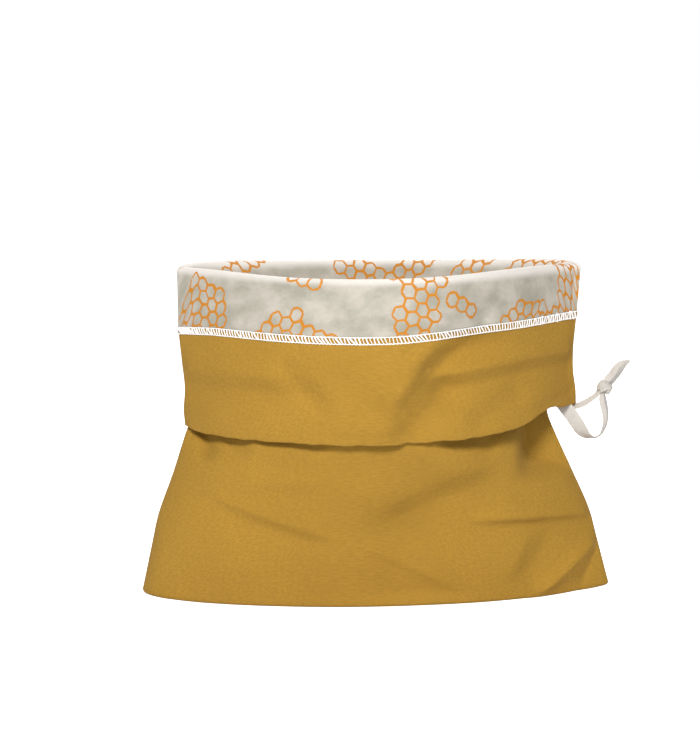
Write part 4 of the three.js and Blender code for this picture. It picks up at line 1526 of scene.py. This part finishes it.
def mustard_cotton():
    """Matt plain-woven mustard cotton."""
    settings = bpy.context.scene.bread_bag_cloth
    dye = settings.outer_colour
    material, tree, shader = new_material("mustard_cotton")
    place = cloth_coordinates(tree)
    weave = woven(tree, place, settings.outer_thread)
    slub_start = -SLUB_CONTRAST * SLUB_FROM
    marks = {
        "grain": mottled(tree, place, *OUTER_GRAIN),
        "slub": calc(tree, "MULTIPLY_ADD", weave["Slub"], SLUB_CONTRAST, slub_start, clamp=True),
        "fleck": cotton_flecks(tree, place, settings.outer_fleck),
        "gap": weave["Gap"],
    }
    colour = shaded(tree, mottled(tree, place, *OUTER_FADE), dye, *FADED_SHADES)
    for name, mark in marks.items():
        colour = marked(tree, colour, mark, dye, *COTTON_MARKS[name])
    height = calc(tree, "MULTIPLY_ADD", weave["Slub"], 0.6, weave["Height"])
    set_inputs(tree, shader, {
        "Base Color": colour,
        "Roughness": ranged(tree, weave["Gap"], 0.84, 0.94),
        "Specular IOR Level": 0.16,
        "Sheen Weight": 0.02,
        "Sheen Roughness": 0.5,
        "Normal": raised(tree, height, by=0.0001),
    })
    return material


def waxed_lining():
    """Off-white cotton with wax in it and an orange print on it."""
    cloth = bpy.context.scene.bread_bag_cloth
    ink = bpy.context.scene.bread_bag_print
    material, tree, shader = new_material("waxed_lining")
    place = cloth_coordinates(tree)
    wax = mottled(tree, stretched(tree, place, 1.0, 1.3), *LINING_WAX)
    grain = mottled(tree, place, *LINING_GRAIN)
    ground = mixed_colour(tree, wax, with_alpha(cloth.lining_colour), with_alpha(cloth.wax_colour))
    ground = marked(tree, ground, grain, cloth.wax_colour, *LINING_MARK)
    # Painted highlight: the lining turns lighter towards the top fold, where the fold catches the light from
    # above
    painted_rim_highlight = smooth_step(tree, parted(tree, solid_coordinates(tree))["Z"], RIM_HIGHLIGHT_FROM, RIM_HIGHLIGHT_TO)
    ground = mixed_colour(tree, painted_rim_highlight, ground, with_alpha(cloth.rim_highlight_colour))
    cluster = shared_group("cell_cluster", cell_cluster_group)
    drawing = placed(tree, shared_group("honeycomb_print", honeycomb_print_group, cluster), {
        "Vector": place,
        "Cell Width": ink.cell_width,
        "Line Width": ink.line_width,
        "Cluster Spacing": ink.cluster_spacing,
    })
    inked = calc(tree, "MULTIPLY", drawing["Ink"], ranged(tree, grain, 1.0, 1 - INK_WEAR))
    weave = woven(tree, place, cloth.lining_thread)
    set_inputs(tree, shader, {
        "Base Color": mixed_colour(tree, inked, ground, with_alpha(ink.colour)),
        "Roughness": ranged(tree, wax, 0.68, 0.52),
        "Specular IOR Level": 0.20,
        "Normal": raised(tree, weave["Height"], by=0.00005),
    })
    return material


def overlock_thread():
    """Soft white spun thread."""
    settings = bpy.context.scene.bread_bag_seam
    material, tree, shader = new_material("overlock_thread")
    fuzz = noise_value(tree, solid_coordinates(tree), FUZZ_SCALE)
    set_inputs(tree, shader, {
        "Base Color": shaded(tree, fuzz, settings.colour, *THREAD_SHADES),
        "Roughness": ranged(tree, fuzz, 0.6, 0.8),
        "Sheen Weight": 0.2,
        "Normal": raised(tree, fuzz, by=0.00012),
    })
    return material


def cotton_tape():
    """Natural twill tape, with ribs that slant away from its middle and a little soiling."""
    settings = bpy.context.scene.bread_bag_tape
    material, tree, shader = new_material("cotton_tape")
    place = cloth_coordinates(tree)
    parts = parted(tree, place)
    slanted = calc(tree, "ADD", calc(tree, "ABSOLUTE", parts["X"]), parts["Y"])
    turn = calc(tree, "MULTIPLY", calc(tree, "DIVIDE", slanted, settings.rib), 2 * math.pi)
    rib = calc(tree, "MULTIPLY_ADD", calc(tree, "SINE", turn), 0.5, 0.5)
    tone = shaded(tree, mottled(tree, place, *TAPE_SOIL), settings.colour, *SOILED_SHADES)
    set_inputs(tree, shader, {
        "Base Color": marked(tree, tone, rib, settings.colour, *RIB_MARK),
        "Roughness": ranged(tree, rib, 0.80, 0.88),
        "Sheen Weight": 0.15,
        "Normal": raised(tree, rib, by=0.00012),
    })
    return material


def pale_floor():
    """Plain matt floor."""
    settings = bpy.context.scene.bread_bag_stage
    material, tree, shader = new_material("pale_floor")
    tooth = noise_value(tree, solid_coordinates(tree), TOOTH_SCALE)
    set_inputs(tree, shader, {
        "Base Color": shaded(tree, tooth, settings.floor_colour, *FLOOR_SHADES),
        "Roughness": 0.9,
        "Specular IOR Level": 0.1,
    })
    glow = add_node(tree, "ShaderNodeEmission", {"Strength": FLOOR_GLOW})
    dark = add_node(tree, "ShaderNodeEmission", {"Strength": 0.0})
    lifted = {0: shader.outputs[0], 1: for_camera(tree, glow, dark)}
    both = add_node(tree, "ShaderNodeAddShader", lifted)
    tree.links.new(both.outputs[0], tree.nodes["Material Output"].inputs["Surface"])
    return material


# Stage

# The camera's place, how far it looks down and how far it is turned to the right, in degrees
CAMERA_PLACE = Vector((-0.1143, -1.4995, 0.3946))
CAMERA_DIP = 8.195
CAMERA_TURN = 3.517

# Half the floor's side, and the place that the lights point at
FLOOR_HALF = 6.0
BAG_MIDDLE = Vector((0.0, 0.0, 0.13))

# Soft lights: where each stands, how wide it is and its share of the key light's power
StudioLight = namedtuple("StudioLight", "name place size share")
STUDIO_LIGHTS = [
    StudioLight("key_light", Vector((-0.36, -1.84, 1.50)), 0.6, 1.0),
    StudioLight("right_light", Vector((1.15, -1.45, 1.30)), 0.8, 0.08),
    StudioLight("back_light", Vector((0.0, 1.3, 1.6)), 1.0, 0.45),
]


def add_floor():
    """A plain level floor that the bag stands on."""
    mesh = bpy.data.meshes.new("floor")
    corners = [(x * FLOOR_HALF, y * FLOOR_HALF, 0.0) for x, y in ((-1, -1), (1, -1), (1, 1), (-1, 1))]
    mesh.from_pydata(corners, [], [(0, 1, 2, 3)])
    mesh.materials.append(pale_floor())
    floor = new_object("floor", mesh)


def add_light(light, key_power):
    """A round soft light that points at the bag."""
    data = bpy.data.lights.new(light.name, "AREA")
    data.shape = "DISK"
    data.size = light.size
    data.energy = key_power * light.share
    lamp = new_object(light.name, data)
    lamp.location = light.place
    lamp.rotation_euler = (BAG_MIDDLE - light.place).to_track_quat("-Z", "Y").to_euler()


def light_room(strength):
    """Even white light all round, with a white background behind the bag."""
    world = bpy.data.worlds.new("room")
    bpy.context.scene.world = world
    world.use_nodes = True
    tree = world.node_tree
    tree.nodes.clear()
    seen, lighting = [
        add_node(tree, "ShaderNodeBackground", {"Color": (1, 1, 1, 1), "Strength": power})
        for power in (1.0, strength)
    ]
    out = tree.nodes.new("ShaderNodeOutputWorld")
    tree.links.new(for_camera(tree, seen, lighting), out.inputs["Surface"])


# Operators, one for each piece or group of like pieces, and one for the stage


class BREADBAG_OT_aim_camera(bpy.types.Operator):
    """Aims a camera at the bag from the front, slightly from above"""

    bl_idname = "breadbag.aim_camera"
    bl_label = "Aim Camera"

    def execute(self, context):
        data = bpy.data.cameras.new("photo_camera")
        data.lens = context.scene.bread_bag_stage.lens
        data.sensor_width = 36.0
        data.clip_start = 0.05
        data.clip_end = 50.0
        camera = new_object("photo_camera", data)
        camera.location = CAMERA_PLACE
        camera.rotation_euler = (math.radians(90 - CAMERA_DIP), 0.0, math.radians(-CAMERA_TURN))
        context.scene.camera = camera
        return {"FINISHED"}


class BREADBAG_OT_add_tie(bpy.types.Operator):
    """Adds the drawstring's tape, its knot and its tail at the cuff's right corner"""

    bl_idname = "breadbag.add_tie"
    bl_label = "Add Tie"

    def execute(self, context):
        thickness = context.scene.bread_bag_tape.thickness
        material = cotton_tape()
        knot = add_piece("tie_knot_wraps", knot_mesh("tie_knot_wraps"), material, TAPE_SLOT, "tie_knot")
        tail_mesh, _ = tape_mesh("tie_tail_end", TAIL_PATH, thickness)
        tail = add_piece("tie_tail_end", tail_mesh, material, TAPE_SLOT, "tie_tail")
        tape, path = tape_mesh("tie_tape", TAPE_PATH, thickness)
        piece = add_piece("tie_tape", tape, material, TAPE_SLOT, "tie_lower_run", "tie_upper_run")
        return {"FINISHED"}


class BREADBAG_OT_add_outer_cloth(bpy.types.Operator):
    """Adds the mustard cotton: base, walls, cuff, hem and facing"""

    bl_idname = "breadbag.add_outer_cloth"
    bl_label = "Add Outer Cloth"

    def execute(self, context):
        mesh = cloth_mesh("outer_cloth", outer_stations, OUTER_LAYER, hidden=1)
        piece = add_piece("outer_cloth", mesh, mustard_cotton(), OUTER_SLOT, "outer_front", "outer_back")
        return {"FINISHED"}


class BREADBAG_OT_add_lining(bpy.types.Operator):
    """Adds the printed lining, which shows inside and on the upper part of the cuff"""

    bl_idname = "breadbag.add_lining"
    bl_label = "Add Lining"

    def execute(self, context):
        mesh = cloth_mesh("printed_lining", lining_stations, LINING_LAYER, hidden=0)
        piece = add_piece("printed_lining", mesh, waxed_lining(), LINING_SLOT, "lining_front", "lining_back")
        return {"FINISHED"}


class BREADBAG_OT_sew_overlock(bpy.types.Operator):
    """Sews the white overlocked seam round the cuff, over the join of lining and facing"""

    bl_idname = "breadbag.sew_overlock"
    bl_label = "Sew Overlocked Seam"

    def execute(self, context):
        settings = context.scene.bread_bag_seam
        thread = overlock_thread()
        values = {
            "Pitch": settings.pitch,
            "Height": settings.height,
            "Bar Thickness": settings.bar_thickness,
            "Edge Thickness": settings.edge_thickness,
            "Slant": settings.slant,
            "Seed": settings.seed,
            "Thread": thread,
        }
        mesh = sewn_mesh(seam_guide("seam_guide"), overlock_tree(), values)
        if not mesh.polygons:
            raise RuntimeError("the overlocked seam came out empty")
        mesh.name = "overlock_stitches"
        add_piece("overlock_stitches", mesh, thread, THREAD_SLOT, "overlock_seam")
        return {"FINISHED"}


class BREADBAG_OT_set_stage(bpy.types.Operator):
    """Sets the plain floor, the soft lights and the even room light"""

    bl_idname = "breadbag.set_stage"
    bl_label = "Set Stage"

    def execute(self, context):
        settings = context.scene.bread_bag_stage
        add_floor()
        for light in STUDIO_LIGHTS:
            add_light(light, settings.key_power)
        light_room(settings.room_light)
        context.scene.view_settings.view_transform = "Standard"
        return {"FINISHED"}


class BREADBAG_PT_panel(bpy.types.Panel):
    """The bread bag's steps and settings"""

    bl_idname = "BREADBAG_PT_panel"
    bl_label = "Bread Bag"
    bl_space_type = "VIEW_3D"
    bl_region_type = "UI"
    bl_category = "Bread Bag"

    def draw(self, context):
        for operator in OPERATORS:
            self.layout.operator(operator.bl_idname)
        for name, group in SETTINGS.items():
            box = self.layout.box()
            box.label(text=group.__doc__)
            for key in group.__annotations__:
                box.prop(getattr(context.scene, name), key)


OPERATORS = [
    BREADBAG_OT_aim_camera,
    BREADBAG_OT_add_tie,
    BREADBAG_OT_add_outer_cloth,
    BREADBAG_OT_add_lining,
    BREADBAG_OT_sew_overlock,
    BREADBAG_OT_set_stage,
]
SETTINGS = {
    "bread_bag_cloth": BreadBagClothSettings,
    "bread_bag_print": BreadBagPrintSettings,
    "bread_bag_seam": BreadBagSeamSettings,
    "bread_bag_tape": BreadBagTapeSettings,
    "bread_bag_stage": BreadBagStageSettings,
}


def register():
    """Adds the settings, the operators and the panel to Blender."""
    for group in SETTINGS.values():
        bpy.utils.register_class(group)
    for name, group in SETTINGS.items():
        setattr(bpy.types.Scene, name, bpy.props.PointerProperty(type=group))
    for operator in OPERATORS:
        bpy.utils.register_class(operator)
    bpy.utils.register_class(BREADBAG_PT_panel)


def unregister():
    """Takes the panel, the operators and the settings out of Blender."""
    bpy.utils.unregister_class(BREADBAG_PT_panel)
    for operator in reversed(OPERATORS):
        bpy.utils.unregister_class(operator)
    for name in SETTINGS:
        delattr(bpy.types.Scene, name)
    for group in SETTINGS.values():
        bpy.utils.unregister_class(group)


def main():
    """Registers the add-on and builds the bag and its stage."""
    register()
    bpy.ops.breadbag.aim_camera()
    bpy.ops.breadbag.add_tie()
    bpy.ops.breadbag.add_outer_cloth()
    bpy.ops.breadbag.add_lining()
    bpy.ops.breadbag.sew_overlock()
    bpy.ops.breadbag.set_stage()


if __name__ == "__main__":
    main()
